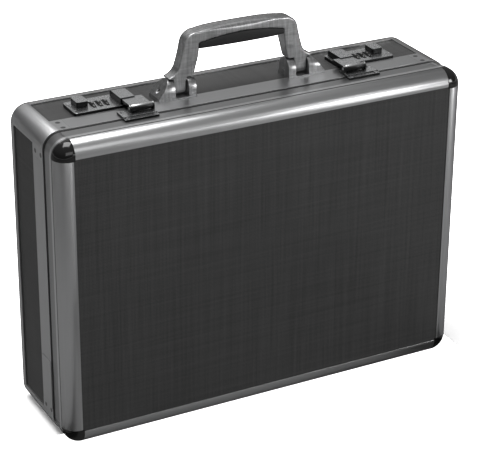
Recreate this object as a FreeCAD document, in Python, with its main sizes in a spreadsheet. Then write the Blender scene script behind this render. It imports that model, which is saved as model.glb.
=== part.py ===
"""A hard attache case with an aluminium edge frame, two combination locks and a swinging handle.

The case stands on its hinge side. Its frame has the origin at the bottom centre, X along the width, Y towards the
base half (the rear) and Z up. The lid is the front half and drops forward about the piano hinge at the bottom.
"""
import FreeCAD, Part
import os
import re
import Sketcher

DOC = FreeCAD.newDocument("AttacheCase")
SHEET = DOC.addObject("Spreadsheet::Sheet", "Dimensions")

# Driving dimensions in millimetres.
DIMENSIONS = {
    # the case as a whole
    "case_width": 450.0,
    "case_height": 327.0,
    "half_depth": 61.0,
    "corner_radius": 18.0,
    "skin": 1.5,
    "board": 4.0,
    "fit": 0.1,
    "running_gap": 0.3,
    # the seam between base and lid
    "seam_y": -23.5,
    "edge_rear": 1.5,
    "tongue_thick": 1.3,
    "tongue_inset": 6.0,
    "tongue_reach": 6.3,
    "tab_reach": 12.0,
    # the rear frame
    "rear_leg": 10.0,
    "rear_lip": 18.0,
    "rear_round": 6.0,
    # the lid frame
    "strip_inset": 1.0,
    "strip_end": -38.6,
    "ridge_start": -39.8,
    "ridge_end": -43.4,
    "groove_depth": 1.1,
    "round_start": -46.0,
    "lid_lip": 16.5,
    "panel_edge": 14.3,
    "panel_recess": 1.2,
    "ball_proud": 0.4,
    # the hinge
    "hinge_z": 2.4,
    "knuckle_radius": 2.2,
    "hinge_pin_radius": 1.0,
    "hinge_bore_radius": 1.05,
    "hinge_half_length": 194.6,
    "hinge_leaf_low": 0.2,
    "hinge_leaf_high": 1.4,
    "hinge_leaf_width": 18.5,
    "hinge_relief": 3.8,
    "knuckle_gap": 0.4,
    # the lid stays
    "stay_height": 41.3,
    "stay_offset": 15.7,
    "stay_plane": 213.5,
    "stay_thick": 2.0,
    "stay_half_width": 4.0,
    "stay_length": 85.0,
    "stud_radius": 2.0,
    "stud_bore_radius": 2.06,
    "stay_plate_thick": 0.8,
    "stay_plate_low": 27.0,
    "stay_plate_high": 81.5,
    "stay_plate_rear": -2.0,
    # the linings
    "lining_thick": 1.2,
    "base_lining_inset": 5.9,
    "lid_lining_inset": 8.0,
    "lid_lining_front": -53.6,
    "lid_lining_rear": -30.4,
    "organizer_half_width": 185.0,
    "organizer_low": 30.0,
    "organizer_high": 235.0,
    "organizer_depth": 12.0,
    "organizer_wall": 1.5,
    # the handle
    "handle_y": 8.0,
    "handle_z": 335.0,
    "bracket_in": 52.0,
    "slot_in": 60.0,
    "slot_out": 75.0,
    "cheek_out": 80.0,
    "bracket_out": 93.0,
    "cheek_radius": 11.0,
    "foot_top": 330.0,
    "slot_floor": 328.4,
    "foot_front": -4.0,
    "foot_rear": 20.0,
    "handle_pin_radius": 2.5,
    "handle_bore_radius": 2.55,
    "tongue_root_radius": 6.2,
    "handle_top": 394.5,
    "bridge_radius": 420.0,
    "bridge_end_x": 50.0,
    "bridge_end_z": 391.5,
    "handle_corner_radius": 14.0,
    "leg_top_x": 63.0,
    "leg_top_z": 380.0,
    "leg_radius": 155.0,
    "leg_foot_x": 69.0,
    "leg_foot_z": 357.0,
    "leg_flare_radius": 16.3,
    "leg_inner_x": 53.5,
    "leg_inner_radius": 150.0,
    "shoulder_thick": 1.2,
    "seat_gap": 0.6,
    "handle_round": 5.0,
    "leg_root_rise": 12.0,
    "depth_flare_low": 358.0,
    "depth_flare_high": 376.0,
    "plan_bow_reach": 62.0,
    "grip_bottom": 374.6,
    "grip_arch_mid": 385.6,
    "grip_arch_end": 380.0,
    "grip_half_length": 47.5,
    "leg_half_depth": 6.5,
    "grip_half_depth": 9.5,
    # the locks
    "lock_in": 113.5,
    "lock_out": 179.5,
    "lock_front": 2.2,
    "lock_rear": 34.5,
    "lock_top": 329.4,
    "lock_corner": 3.0,
    "case_in": 119.0,
    "case_out": 174.0,
    "case_front": 6.0,
    "case_rear": 30.5,
    "case_floor": 310.0,
    "case_wall": 1.2,
    "dial_radius": 8.5,
    "dial_thick": 3.0,
    "dial_pitch": 7.0,
    "dial_first": 141.5,
    "dial_y": 17.0,
    "dial_z": 323.2,
    "axle_radius": 1.5,
    "axle_lug_rise": 2.0,
    "dial_bore_radius": 1.55,
    "slider_in": 160.5,
    "slider_out": 172.5,
    "slider_front": 14.0,
    "slider_rear": 31.0,
    "slider_top": 335.2,
    "slider_corner": 2.0,
    "slider_travel": 5.0,
    "bolt_front": 26.3,
    "bolt_rear": 29.2,
    "bolt_low": 321.4,
    "bolt_high": 324.4,
    # the hasps
    "hasp_in": 108.0,
    "hasp_out": 130.0,
    "hasp_block_in": 116.0,
    "hasp_block_out": 131.0,
    "hasp_pivot_y": -17.5,
    "hasp_pivot_z": 333.4,
    "hasp_nose_radius": 3.5,
    "hasp_pin_radius": 1.5,
    "hasp_bore_radius": 1.55,
    "hasp_low": 329.8,
    "hasp_top": 336.2,
    "hasp_block_front": 4.0,
    "hasp_block_rear": 30.0,
    "hasp_block_round": 3.0,
    "carrier_in": 106.0,
    "carrier_out": 142.0,
    "carrier_front": -31.4,
    "carrier_rear": -10.5,
    "carrier_thick": 2.0,
    "lug_thick": 1.7,
    "lug_radius": 3.4,
    "carrier_head_radius": 2.0,
    "carrier_rivet_edge": 2.4,
    # screws and rivets
    "rivet_head_radius": 2.4,
    "rivet_head_thick": 0.8,
    "rivet_radius": 1.5,
    "screw_head_radius": 1.8,
    "screw_head_thick": 0.8,
    "screw_radius": 1.0,
}

WORD = re.compile(r"[a-z][a-z_0-9]*")
ROLE_OF_NORMAL = {"x": "YZ_Plane", "y": "XZ_Plane", "z": "XY_Plane"}
KNUCKLES = 14
SIDES = {"left": -1, "right": 1}
NODES = {}


def fill_sheet():
    """Write every driving dimension into the sheet, one row each, with its name as the alias."""
    for row, (name, value) in enumerate(DIMENSIONS.items(), start=1):
        SHEET.set(f"A{row}", name)
        SHEET.set(f"B{row}", str(value))
        SHEET.setAlias(f"B{row}", name)
    DOC.recompute()


def linked(expression):
    """Point each dimension's name in an expression at its cell of the sheet."""
    def cell(word):
        return "Dimensions." + word.group(0) if word.group(0) in DIMENSIONS else word.group(0)
    return WORD.sub(cell, str(expression))


def size(expression):
    """The value of an expression of dimensions."""
    return float(SHEET.evalExpression(str(expression)))


def bind(item, prop, expression):
    item.setExpression(prop, linked(expression))


def keep(label, item):
    """Name the finished sub-part and list it for export."""
    item.Label = label
    NODES[label] = item
    return item


# ---------------------------------------------------------------- solids from primitives

def box(name, low, high):
    """A box between two opposite corners, each three expressions."""
    solid = DOC.addObject("Part::Box", name)
    for prop, axis, start, end in zip(("Length", "Width", "Height"), "xyz", low, high):
        bind(solid, prop, f"({end}) - ({start})")
        bind(solid, "Placement.Base." + axis, start)
    return solid


def rod(name, axis, base, length, radius):
    """A cylinder that starts at base and runs along +X, +Y or +Z."""
    turns = {
        "x": FreeCAD.Rotation(FreeCAD.Vector(0, 1, 0), 90),
        "y": FreeCAD.Rotation(FreeCAD.Vector(1, 0, 0), -90),
        "z": FreeCAD.Rotation(),
    }
    solid = DOC.addObject("Part::Cylinder", name)
    solid.Placement = FreeCAD.Placement(FreeCAD.Vector(), turns[axis])
    bind(solid, "Radius", radius)
    bind(solid, "Height", length)
    for letter, value in zip("xyz", base):
        bind(solid, "Placement.Base." + letter, value)
    return solid


def joined(name, pieces):
    result = DOC.addObject("Part::MultiFuse", name)
    result.Shapes = pieces
    return result


def cut(name, base, tools):
    result = DOC.addObject("Part::Cut", name)
    result.Base = base
    result.Tool = tools[0] if len(tools) == 1 else joined(name + "_tools", tools)
    return result


def common(name, first, second):
    result = DOC.addObject("Part::MultiCommon", name)
    result.Shapes = [first, second]
    return result


def group(name, solids):
    """Several separate solids in one sub-part."""
    result = DOC.addObject("Part::Compound", name)
    result.Links = solids
    return result


def mirror_x(name, source):
    """The same piece on the other side of the case's middle."""
    result = DOC.addObject("Part::Mirroring", name)
    result.Source = source
    result.Normal = FreeCAD.Vector(1, 0, 0)
    return result


def mirror_z(name, source):
    """The same piece at the other end of the case's height."""
    result = DOC.addObject("Part::Mirroring", name)
    result.Source = source
    result.Normal = FreeCAD.Vector(0, 0, 1)
    bind(result, "Base.z", "case_height / 2")
    return result


def both_sides(name, right):
    """Keep the right-hand piece and its mirror image as two sub-parts."""
    keep(name + "_right", right)
    keep(name + "_left", mirror_x(name + "_left", right))


# ---------------------------------------------------------------- solids from sketches

def arc_centre(start, end, radius, turn):
    """Centre of the shorter arc from start to end; turn is 1 for anticlockwise and -1 for clockwise."""
    chord = end - start
    middle = (start + end) * 0.5
    height = max(radius ** 2 - (chord.Length / 2) ** 2, 0.0) ** 0.5
    across = FreeCAD.Vector(-chord.y, chord.x, 0).normalize()
    return middle + across * (height * turn)


def draw_edge(sketch, start, end, arc):
    """Add a line or arc, and return its number and the number of its end point."""
    if arc is None:
        return sketch.addGeometry(Part.LineSegment(start, end)), 1, 2
    radius_text, turn = arc
    radius = size(radius_text)
    centre = arc_centre(start, end, radius, turn)
    circle = Part.Circle(centre, FreeCAD.Vector(0, 0, 1), radius)
    first, last = (start, end) if turn > 0 else (end, start)
    shape = Part.ArcOfCircle(circle, circle.parameter(first), circle.parameter(last))
    edge = sketch.addGeometry(shape)
    constraint = sketch.addConstraint(Sketcher.Constraint("Radius", edge, radius))
    bind(sketch, f"Constraints[{constraint}]", radius_text)
    return (edge, 1, 2) if turn > 0 else (edge, 2, 1)


def outline(body, name, normal, points, offset):
    """A closed sketch on the plane across one axis. A point is (across, up) or (across, up, radius, turn)."""
    sketch = body.newObject("Sketcher::SketchObject", name)
    plane = [item for item in body.Origin.OriginFeatures if item.Role == ROLE_OF_NORMAL[normal]]
    sketch.AttachmentSupport = [(plane[0], "")]
    sketch.MapMode = "FlatFace"
    bind(sketch, "AttachmentOffset.Base.z", offset)
    places = [FreeCAD.Vector(size(point[0]), size(point[1]), 0) for point in points]
    edges = []
    for index, point in enumerate(points):
        arc = point[2:] if len(point) == 4 else None
        edges.append(draw_edge(sketch, places[index - 1], places[index], arc))
    for index, (edge, _, end) in enumerate(edges):
        following, start, _ = edges[(index + 1) % len(edges)]
        sketch.addConstraint(Sketcher.Constraint("Coincident", edge, end, following, start))
        for kind, value, text in zip(("DistanceX", "DistanceY"), places[index], points[index]):
            constraint = sketch.addConstraint(Sketcher.Constraint(kind, -1, 1, edge, end, value))
            bind(sketch, f"Constraints[{constraint}]", text)
    return sketch


def extrusion(name, normal, points, low, high):
    """Pad an outline along an axis between two places. Across Y, the sketch's normal is -Y."""
    body = DOC.addObject("PartDesign::Body", name)
    offset = f"-({high})" if normal == "y" else low
    sketch = outline(body, name + "_outline", normal, points, offset)
    pad = body.newObject("PartDesign::Pad", name + "_pad")
    pad.Profile = (sketch, [""])
    bind(pad, "Length", f"({high}) - ({low})")
    sketch.Visibility = False
    return body


def corner(name, section):
    """Turn a section of (y, inset from the case's side) through the upper right corner."""
    points = [along_corner(*point) for point in section]
    body = DOC.addObject("PartDesign::Body", name)
    sketch = outline(body, name + "_outline", "x", points, "case_width / 2 - corner_radius")
    bind(sketch, "AttachmentOffset.Base.y", "case_height - corner_radius")
    turn = body.newObject("PartDesign::Revolution", name + "_turn")
    turn.Profile = (sketch, [""])
    turn.ReferenceAxis = (sketch, ["H_Axis"])
    turn.Angle = 90
    return body


# A frame section is a list of (y, inset) or (y, inset, radius, turn). These lay it along the case's sides.

def along_corner(y, inset, *arc):
    return (y, f"corner_radius - ({inset})", *flipped(arc))


def along_top(y, inset, *arc):
    return (y, f"case_height - ({inset})", *flipped(arc))


def along_bottom(y, inset, *arc):
    return (y, inset, *arc)


def along_side(y, inset, *arc):
    return (f"case_width / 2 - ({inset})", y, *arc)


def flipped(arc):
    return (arc[0], -arc[1]) if arc else ()


RAIL_END = "(case_width / 2 - corner_radius - fit)"
RAIL_LOW = "(corner_radius + fit)"
RAIL_HIGH = "(case_height - corner_radius - fit)"
BASE_SEAM = "(seam_y + running_gap)"
LID_SEAM = "(seam_y - running_gap)"
BOARD_OUT = "(skin + fit)"
BOARD_IN = "(skin + fit + board)"


def rail_top(name, section):
    return extrusion(name, "x", [along_top(*point) for point in section], "-" + RAIL_END, RAIL_END)


def rail_bottom(name, section):
    return extrusion(name, "x", [along_bottom(*point) for point in section], "-" + RAIL_END, RAIL_END)


def rail_side(name, section):
    return extrusion(name, "z", [along_side(*point) for point in section], RAIL_LOW, RAIL_HIGH)


def hinge_clearance(name):
    """The round space about the hinge line that both halves leave free."""
    return rod(name, "x", ("-case_width / 2 - 1", "seam_y", "hinge_z"), "case_width + 2", "hinge_relief")


# ---------------------------------------------------------------- base half

def rear_section():
    """Rounded angle that covers the rear edge of the base."""
    face = "half_depth"
    return [
        (f"{face} - rear_leg", "0"),
        (f"{face} - rear_leg", "skin"),
        (f"{face} - rear_round", "skin"),
        (f"{face} - skin", "rear_round", "(rear_round - skin)", 1),
        (f"{face} - skin", "rear_lip"),
        (face, "rear_lip"),
        (face, "rear_round"),
        (f"{face} - rear_round", "0", "rear_round", -1),
    ]


def base_frame():
    section = rear_section()
    keep("rear_frame_top", rail_top("rear_frame_top", section))
    keep("rear_frame_bottom", rail_bottom("rear_frame_bottom", section))
    both_sides("rear_frame", rail_side("rear_frame_right", section))


def base_boards():
    """Rear panel, and four walls that stand on its inner face."""
    panel_front = "(half_depth - skin - fit - board)"
    wall_rear = f"({panel_front} - fit)"
    wall_front = "(seam_y + running_gap + skin + fit)"
    wall_x = "(case_width / 2 - skin - fit)"
    wall_z = "(case_height - skin - fit)"
    edge = "(rear_round + fit)"
    half_x = f"(case_width / 2 - {edge})"
    panel = rounded_rectangle("-" + half_x, half_x, edge, f"(case_height - {edge})", f"(corner_radius - {edge})")
    keep("base_panel", extrusion("base_panel", "y", panel, panel_front, f"{panel_front} + board"))
    side = box("wall_right", (f"case_width / 2 - {BOARD_IN}", wall_front, RAIL_LOW),
               (wall_x, wall_rear, RAIL_HIGH))
    both_sides("wall", side)
    top_blank = box("wall_top_blank", ("-" + RAIL_END, wall_front, f"case_height - {BOARD_IN}"),
                    (RAIL_END, wall_rear, wall_z))
    tools = [lock_opening(sign) for sign in SIDES.values()]
    tools += [rod("wall_top_hole", "z", (x, y, "case_height - 10"), "10", "screw_radius + fit")
              for x, y in lock_screw_places() + handle_screw_places()]
    keep("wall_top", cut("wall_top", top_blank, tools))
    bottom_front = "(seam_y + hinge_relief + running_gap)"
    keep("wall_bottom", box("wall_bottom", ("-" + RAIL_END, bottom_front, BOARD_OUT),
                            (RAIL_END, wall_rear, BOARD_IN)))


def rounded_rectangle(left, right, low, high, radius):
    """Outline of a rectangle with four round corners."""
    return [
        (f"{left} + {radius}", low, radius, 1),
        (f"{right} - {radius}", low),
        (right, f"{low} + {radius}", radius, 1),
        (right, f"{high} - {radius}"),
        (f"{right} - {radius}", high, radius, 1),
        (f"{left} + {radius}", high),
        (left, f"{high} - {radius}", radius, 1),
        (left, f"{low} + {radius}"),
    ]


def lock_opening(sign):
    """Cut-out in the top wall that a lock case drops into."""
    low, high = signed_span("case_in - fit", "case_out + fit", sign)
    return box("lock_opening", (low, "case_front - fit", "case_height - 10"),
               (high, "case_rear + fit", "case_height"))


def signed_span(near, far, sign):
    """Low and high X of a span that lies on one side of the middle."""
    return (near, far) if sign > 0 else (f"-({far})", f"-({near})")


def edge_section():
    """Seam edge of the base: a flat strip, a cap over the board's edge and a tongue into the lid."""
    tongue_end = f"{BASE_SEAM} - tongue_reach"
    inner = "tongue_inset + tongue_thick"
    return [
        ("edge_rear", "0"),
        (BASE_SEAM, "0"),
        (BASE_SEAM, "tongue_inset"),
        (tongue_end, "tongue_inset"),
        (tongue_end, inner),
        (f"{BASE_SEAM} + skin", inner),
        (f"{BASE_SEAM} + skin", "skin"),
        ("edge_rear", "skin"),
    ]


def base_edges():
    """Seam rails, shortened so that the corner castings' tabs lie in line with them."""
    end = f"({RAIL_END} - tab_reach)"
    section = edge_section()
    keep("base_edge_top", extrusion("base_edge_top", "x", [along_top(*point) for point in section],
                                    f"-{end}", end))
    side = extrusion("base_edge_right", "z", [along_side(*point) for point in section],
                     f"{RAIL_LOW} + tab_reach", f"{RAIL_HIGH} - tab_reach")
    both_sides("base_edge", side)
    leaf_rear = "(seam_y + hinge_leaf_width + fit)"
    keep("base_edge_bottom", box("base_edge_bottom", (f"-{end}", leaf_rear, "0"), (end, "edge_rear", "skin")))


def base_corner_section():
    face = "half_depth"
    panel_front = "(half_depth - skin - fit - board - fit)"
    return [
        (BASE_SEAM, BOARD_IN),
        (panel_front, BOARD_IN),
        (panel_front, "rear_round"),
        (f"{face} - skin", "rear_round"),
        (f"{face} - skin", "corner_radius"),
        (face, "corner_radius"),
        (face, "rear_round"),
        (f"{face} - rear_round", "0", "rear_round", -1),
        (BASE_SEAM, "0"),
    ]


def tab_rivet_places():
    """(x, y) of the two rivets in a corner's top tab."""
    x = "(case_width / 2 - corner_radius - tab_reach / 2)"
    return [(x, "-5"), (x, "-18.5")]


def base_corners():
    """One casting at each corner, with a tab along both edge rails and recesses for its rivets."""
    rail = "(case_width / 2 - corner_radius)"
    rise = "(case_height - corner_radius)"
    top_tab = box("top_tab", (f"{rail} - tab_reach", BASE_SEAM, "case_height - skin"),
                  (rail, "edge_rear", "case_height"))
    side_tab = box("side_tab", ("case_width / 2 - skin", BASE_SEAM, f"{rise} - tab_reach"),
                   ("case_width / 2", "edge_rear", rise))
    blank = joined("corner_blank", [corner("corner_turn", base_corner_section()), top_tab, side_tab])
    recesses = []
    for x, y in tab_rivet_places():
        recesses.append(rod("top_recess", "z", (x, y, "case_height - rivet_head_thick"), "2",
                            "rivet_head_radius + fit"))
        recesses.append(rod("top_hole", "z", (x, y, "case_height - 3"), "3", "rivet_radius + fit"))
        z = f"{rise} - tab_reach / 2"
        recesses.append(rod("side_recess", "x", ("case_width / 2 - rivet_head_thick", y, z), "2",
                            "rivet_head_radius + fit"))
        recesses.append(rod("side_hole", "x", ("case_width / 2 - 3", y, z), "3", "rivet_radius + fit"))
    upper = cut("corner_upper_right", blank, recesses)
    lower = cut("corner_lower_right", mirror_z("corner_lower_blank", upper), [hinge_clearance("corner_relief")])
    keep("base_corners", group("base_corners", [
        upper, mirror_x("corner_upper_left", upper), lower, mirror_x("corner_lower_left", lower)]))


def base_rivets():
    """Two countersunk rivets in each tab of each corner."""
    z = "(case_height - corner_radius - tab_reach / 2)"
    depth = "(rivet_head_thick - fit)"
    upper = []
    for x, y in tab_rivet_places():
        top = f"(case_height - {depth})"
        side = f"(case_width / 2 - {depth})"
        upper.append(joined("rivet", [
            rod("rivet_head", "z", (x, y, top), depth, "rivet_head_radius"),
            rod("rivet_shank", "z", (x, y, f"{top} - skin + {depth}"), f"skin - {depth} / 2", "rivet_radius")]))
        upper.append(joined("rivet", [
            rod("rivet_head", "x", (side, y, z), depth, "rivet_head_radius"),
            rod("rivet_shank", "x", (f"{side} - skin + {depth}", y, z), f"skin - {depth} / 2", "rivet_radius")]))
    right = group("rivets_upper_right", upper)
    lower = mirror_z("rivets_lower_right", right)
    keep("base_rivets", group("base_rivets", [
        right, lower, mirror_x("rivets_upper_left", right), mirror_x("rivets_lower_left", lower)]))


def tray(name, inset, front, rear, floor):
    """Blank of an open tray with round corners; floor is the span in Y that stays closed."""
    def block(part, edge, start, end):
        half_x = f"(case_width / 2 - {edge})"
        points = rounded_rectangle("-" + half_x, half_x, edge, f"(case_height - {edge})", f"(corner_radius - {edge})")
        return extrusion(name + part, "y", points, start, end)
    inner = block("_inner", f"({inset} + lining_thick)", *floor)
    return block("_outer", inset, front, rear), inner


def base_lining():
    """Open tray inside the base, notched under the locks and the handle."""
    inset = "base_lining_inset"
    rear = "(half_depth - skin - fit - board - 0.2)"
    front = f"({BASE_SEAM} + skin + 0.5)"
    outer, inner = tray("base_lining", inset, front, rear, (f"({front} - 1)", f"({rear} - lining_thick)"))
    tools = [inner]
    for sign in SIDES.values():
        low, high = signed_span("case_in - 2", "case_out + 2", sign)
        tools.append(box("lock_notch", (low, f"{front} - 1", "case_floor - 2"),
                         (high, "case_rear + 2", "case_height")))
        low, high = signed_span("bracket_in - 2", "bracket_out + 2", sign)
        tools.append(box("handle_notch", (low, f"{front} - 1", "case_floor - 2"),
                         (high, "foot_rear + 2", "case_height")))
        tools.append(rod("stud_notch", "x", (f"{sign} * stay_plane - 10", "seam_y + stay_offset", "stay_height"),
                         "20", "stud_radius + running_gap"))
    keep("base_lining", cut("base_lining", outer, tools))


# ---------------------------------------------------------------- hinge and lid stays

def knuckle_spans():
    """X spans of the knuckles, from left to right, as expressions."""
    pitch = f"(2 * hinge_half_length / {KNUCKLES})"
    spans = []
    for index in range(KNUCKLES):
        low = f"(-hinge_half_length + {index} * {pitch} + knuckle_gap / 2)"
        spans.append((low, f"({low} + {pitch} - knuckle_gap)"))
    return spans


def hinge_leaf(name, sign, parity):
    """One leaf of the piano hinge with every second knuckle; sign is +1 towards the base."""
    near = f"(seam_y + {sign} * (hinge_relief + running_gap))"
    far = f"(seam_y + {sign} * hinge_leaf_width)"
    low, high = (near, far) if sign > 0 else (far, near)
    pieces = [box(name + "_leaf", ("-hinge_half_length", low, "hinge_leaf_low"),
                  ("hinge_half_length", high, "hinge_leaf_high"))]
    finger_low, finger_high = ("seam_y", near) if sign > 0 else (near, "seam_y")
    for start, end in knuckle_spans()[parity::2]:
        pieces.append(box(name + "_finger", (start, finger_low, "hinge_leaf_low"),
                          (end, finger_high, "hinge_leaf_high")))
        pieces.append(rod(name + "_knuckle", "x", (start, "seam_y", "hinge_z"), f"{end} - {start}",
                          "knuckle_radius"))
    bore = rod(name + "_bore", "x", ("-case_width / 2", "seam_y", "hinge_z"), "case_width", "hinge_bore_radius")
    keep(name, cut(name, joined(name + "_blank", pieces), [bore]))


def hinge():
    hinge_leaf("base_hinge_leaf", 1, 0)
    hinge_leaf("lid_hinge_leaf", -1, 1)
    keep("hinge_pin", rod("hinge_pin", "x", ("-hinge_half_length", "seam_y", "hinge_z"), "2 * hinge_half_length",
                          "hinge_pin_radius"))


def stud(name, y, wall_face):
    """A shouldered stud that holds a stay: a head inboard of the arm and a shank to the wall."""
    head = rod(name + "_head", "x", ("stay_plane - 1.3", y, "stay_height"), "1", "stud_radius + 1.4")
    shank = rod(name + "_shank", "x", ("stay_plane - 0.4", y, "stay_height"),
                f"{wall_face} - stay_plane + 0.4", "stud_radius")
    return joined(name, [head, shank])


def stays():
    """Slotted arms that pivot on the lid and slide along a stud on the base."""
    base_stud = stud("stay_stud", "seam_y + stay_offset", f"(case_width / 2 - {BOARD_IN} - fit)")
    keep("stay_studs", group("stay_studs", [base_stud, mirror_x("stay_stud_left", base_stud)]))
    pivot = stud("stay_pivot", "seam_y - stay_offset", "(case_width / 2 - strip_inset - 2.1)")
    keep("stay_pivots", group("stay_pivots", [pivot, mirror_x("stay_pivot_left", pivot)]))
    start = "(seam_y - stay_offset)"
    end = f"({start} + stay_length)"
    low = "(stay_height - stay_half_width)"
    high = "(stay_height + stay_half_width)"
    blank = extrusion("stay_blank", "x", [
        (start, low, "stay_half_width", 1), (end, low),
        (f"{end} + stay_half_width", "stay_height", "stay_half_width", 1), (end, high, "stay_half_width", 1),
        (start, high), (f"{start} - stay_half_width", "stay_height", "stay_half_width", 1)],
        "stay_plane", "stay_plane + stay_thick")
    slot_start = "(seam_y + stay_offset - running_gap)"
    slot_end = f"({end} - stay_half_width)"
    through = ("stay_plane - 1", "stay_plane + stay_thick + 1")
    bore = rod("stay_bore", "x", (through[0], start, "stay_height"), "stay_thick + 2", "stud_bore_radius")
    slot = joined("stay_slot", [
        box("stay_slot_run", (through[0], slot_start, "stay_height - stud_bore_radius - fit"),
            (through[1], slot_end, "stay_height + stud_bore_radius + fit")),
        rod("stay_slot_start", "x", (through[0], slot_start, "stay_height"), "stay_thick + 2",
            "stud_bore_radius + fit"),
        rod("stay_slot_end", "x", (through[0], slot_end, "stay_height"), "stay_thick + 2",
            "stud_bore_radius + fit")])
    both_sides("stay_arm", cut("stay_arm_right", blank, [bore, slot]))
    plate = box("stay_plate", ("case_width / 2", BASE_SEAM, "stay_plate_low"),
                ("case_width / 2 + stay_plate_thick", "stay_plate_rear", "stay_plate_high"))
    keep("stay_plates", group("stay_plates", [plate, mirror_x("stay_plate_left", plate)]))


# ---------------------------------------------------------------- lid half

def lid_section():
    """Lid rail: flat strip with a ridge, a quarter round and a channel that grips the front panel."""
    face = "(ball_proud - half_depth)"
    radius = "(half_depth - ball_proud + round_start)"
    inner = f"({radius} - skin)"
    lip_back = f"({face} + 0.7)"
    channel_back = "(-half_depth + panel_recess + board + 0.2)"
    web = "(panel_edge - running_gap)"
    return [
        (LID_SEAM, "strip_inset"),
        (LID_SEAM, "tongue_inset - 0.5"),
        (f"{LID_SEAM} - skin", "tongue_inset - 0.5"),
        (f"{LID_SEAM} - skin", "strip_inset + 2"),
        ("round_start + 2", "strip_inset + 2"),
        ("round_start", "skin"),
        (f"round_start - {inner} * 0.98", f"{radius} - {inner} * 0.199", inner, -1),
        (f"{channel_back} + skin", f"{web} - 1.2"),
        (f"{channel_back} + skin", "lid_lip"),
        (channel_back, "lid_lip"),
        (channel_back, web),
        (lip_back, web),
        (lip_back, "lid_lip"),
        (face, "lid_lip"),
        (face, radius),
        ("round_start", "0", radius, 1),
        ("ridge_end - groove_depth", "groove_depth"),
        ("ridge_end", "0"),
        ("ridge_start", "0"),
        ("strip_end", "strip_inset"),
    ]


def lid_strip_section():
    """The flat part of the lid rail as it goes round a corner."""
    end = "(round_start + 0.4)"
    return [
        (LID_SEAM, "strip_inset"),
        (LID_SEAM, BOARD_IN),
        (end, BOARD_IN),
        (end, "0.5"),
        ("ridge_end", "0"),
        ("ridge_start", "0"),
        ("strip_end", "strip_inset"),
    ]


def ball_section():
    """Thin moulded cap over the round corner, a little proud of the front."""
    start = "(round_start + 0.2)"
    radius = "(half_depth + round_start)"
    inner_front = "(1 - half_depth)"
    return [
        (start, "0"),
        (start, "1"),
        ("round_start", "1"),
        (inner_front, radius, f"({radius} - 1)", -1),
        (inner_front, "corner_radius"),
        ("-half_depth", "corner_radius"),
        ("-half_depth", radius),
        ("round_start", "0", radius, 1),
    ]


def lid_frame():
    section = lid_section()
    keep("lid_frame_top", rail_top("lid_frame_top", section))
    bottom = cut("lid_frame_bottom", rail_bottom("lid_frame_bottom_rail", section), [
        hinge_clearance("lid_rail_relief"),
        box("lid_leaf_seat", ("-case_width / 2", "seam_y - hinge_leaf_width - fit", "-1"),
            ("case_width / 2", "0", "hinge_leaf_high + fit"))])
    keep("lid_frame_bottom", bottom)
    both_sides("lid_frame", rail_side("lid_frame_right", section))
    half_x = "(case_width / 2 - panel_edge)"
    rear = "(-half_depth + panel_recess + board)"
    panel = rounded_rectangle("-" + half_x, half_x, "panel_edge", "(case_height - panel_edge)",
                              "(corner_radius - panel_edge)")
    keep("lid_panel", extrusion("lid_panel", "y", panel, f"{rear} - board", rear))


def four_corners(name, section):
    upper = corner(name + "_upper", section)
    lower = cut(name + "_lower", mirror_z(name + "_lower_blank", upper), [hinge_clearance(name + "_relief")])
    keep(name, group(name, [upper, mirror_x(name + "_upper_left", upper), lower,
                            mirror_x(name + "_lower_left", lower)]))


def lid_lining():
    """Open tray inside the lid, with holes for the stays' pivots."""
    outer, inner = tray("lid_lining", "lid_lining_inset", "lid_lining_front", "lid_lining_rear",
                        ("(lid_lining_front + lining_thick)", "(lid_lining_rear + 1)"))
    tools = [inner]
    for sign in SIDES.values():
        tools.append(rod("pivot_notch", "x", (f"{sign} * stay_plane - 10", "seam_y - stay_offset", "stay_height"),
                         "20", "stud_radius + 0.2"))
    keep("lid_lining", cut("lid_lining", outer, tools))


def lid_organizer():
    """Document pocket on the lid's lining, open at the top."""
    front = "(lid_lining_front + lining_thick + fit)"
    outer = box("organizer_outer", ("-organizer_half_width", front, "organizer_low"),
                ("organizer_half_width", f"{front} + organizer_depth", "organizer_high"))
    wall = "organizer_wall"
    inner = box("organizer_inner", (f"-organizer_half_width + {wall}", f"{front} + {wall}",
                                    f"organizer_low + {wall}"),
                (f"organizer_half_width - {wall}", f"{front} + organizer_depth - {wall}", "organizer_high + 1"))
    keep("lid_organizer", cut("lid_organizer", outer, [inner]))


# ---------------------------------------------------------------- handle

def handle_screw_places():
    """(x, y) of the screws that hold both handle brackets."""
    inner = "((bracket_in + slot_in) / 2)"
    outer = "((cheek_out + bracket_out) / 2)"
    return [(f"{sign} * {x}", "handle_y") for sign in SIDES.values() for x in (inner, outer)]


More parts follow.
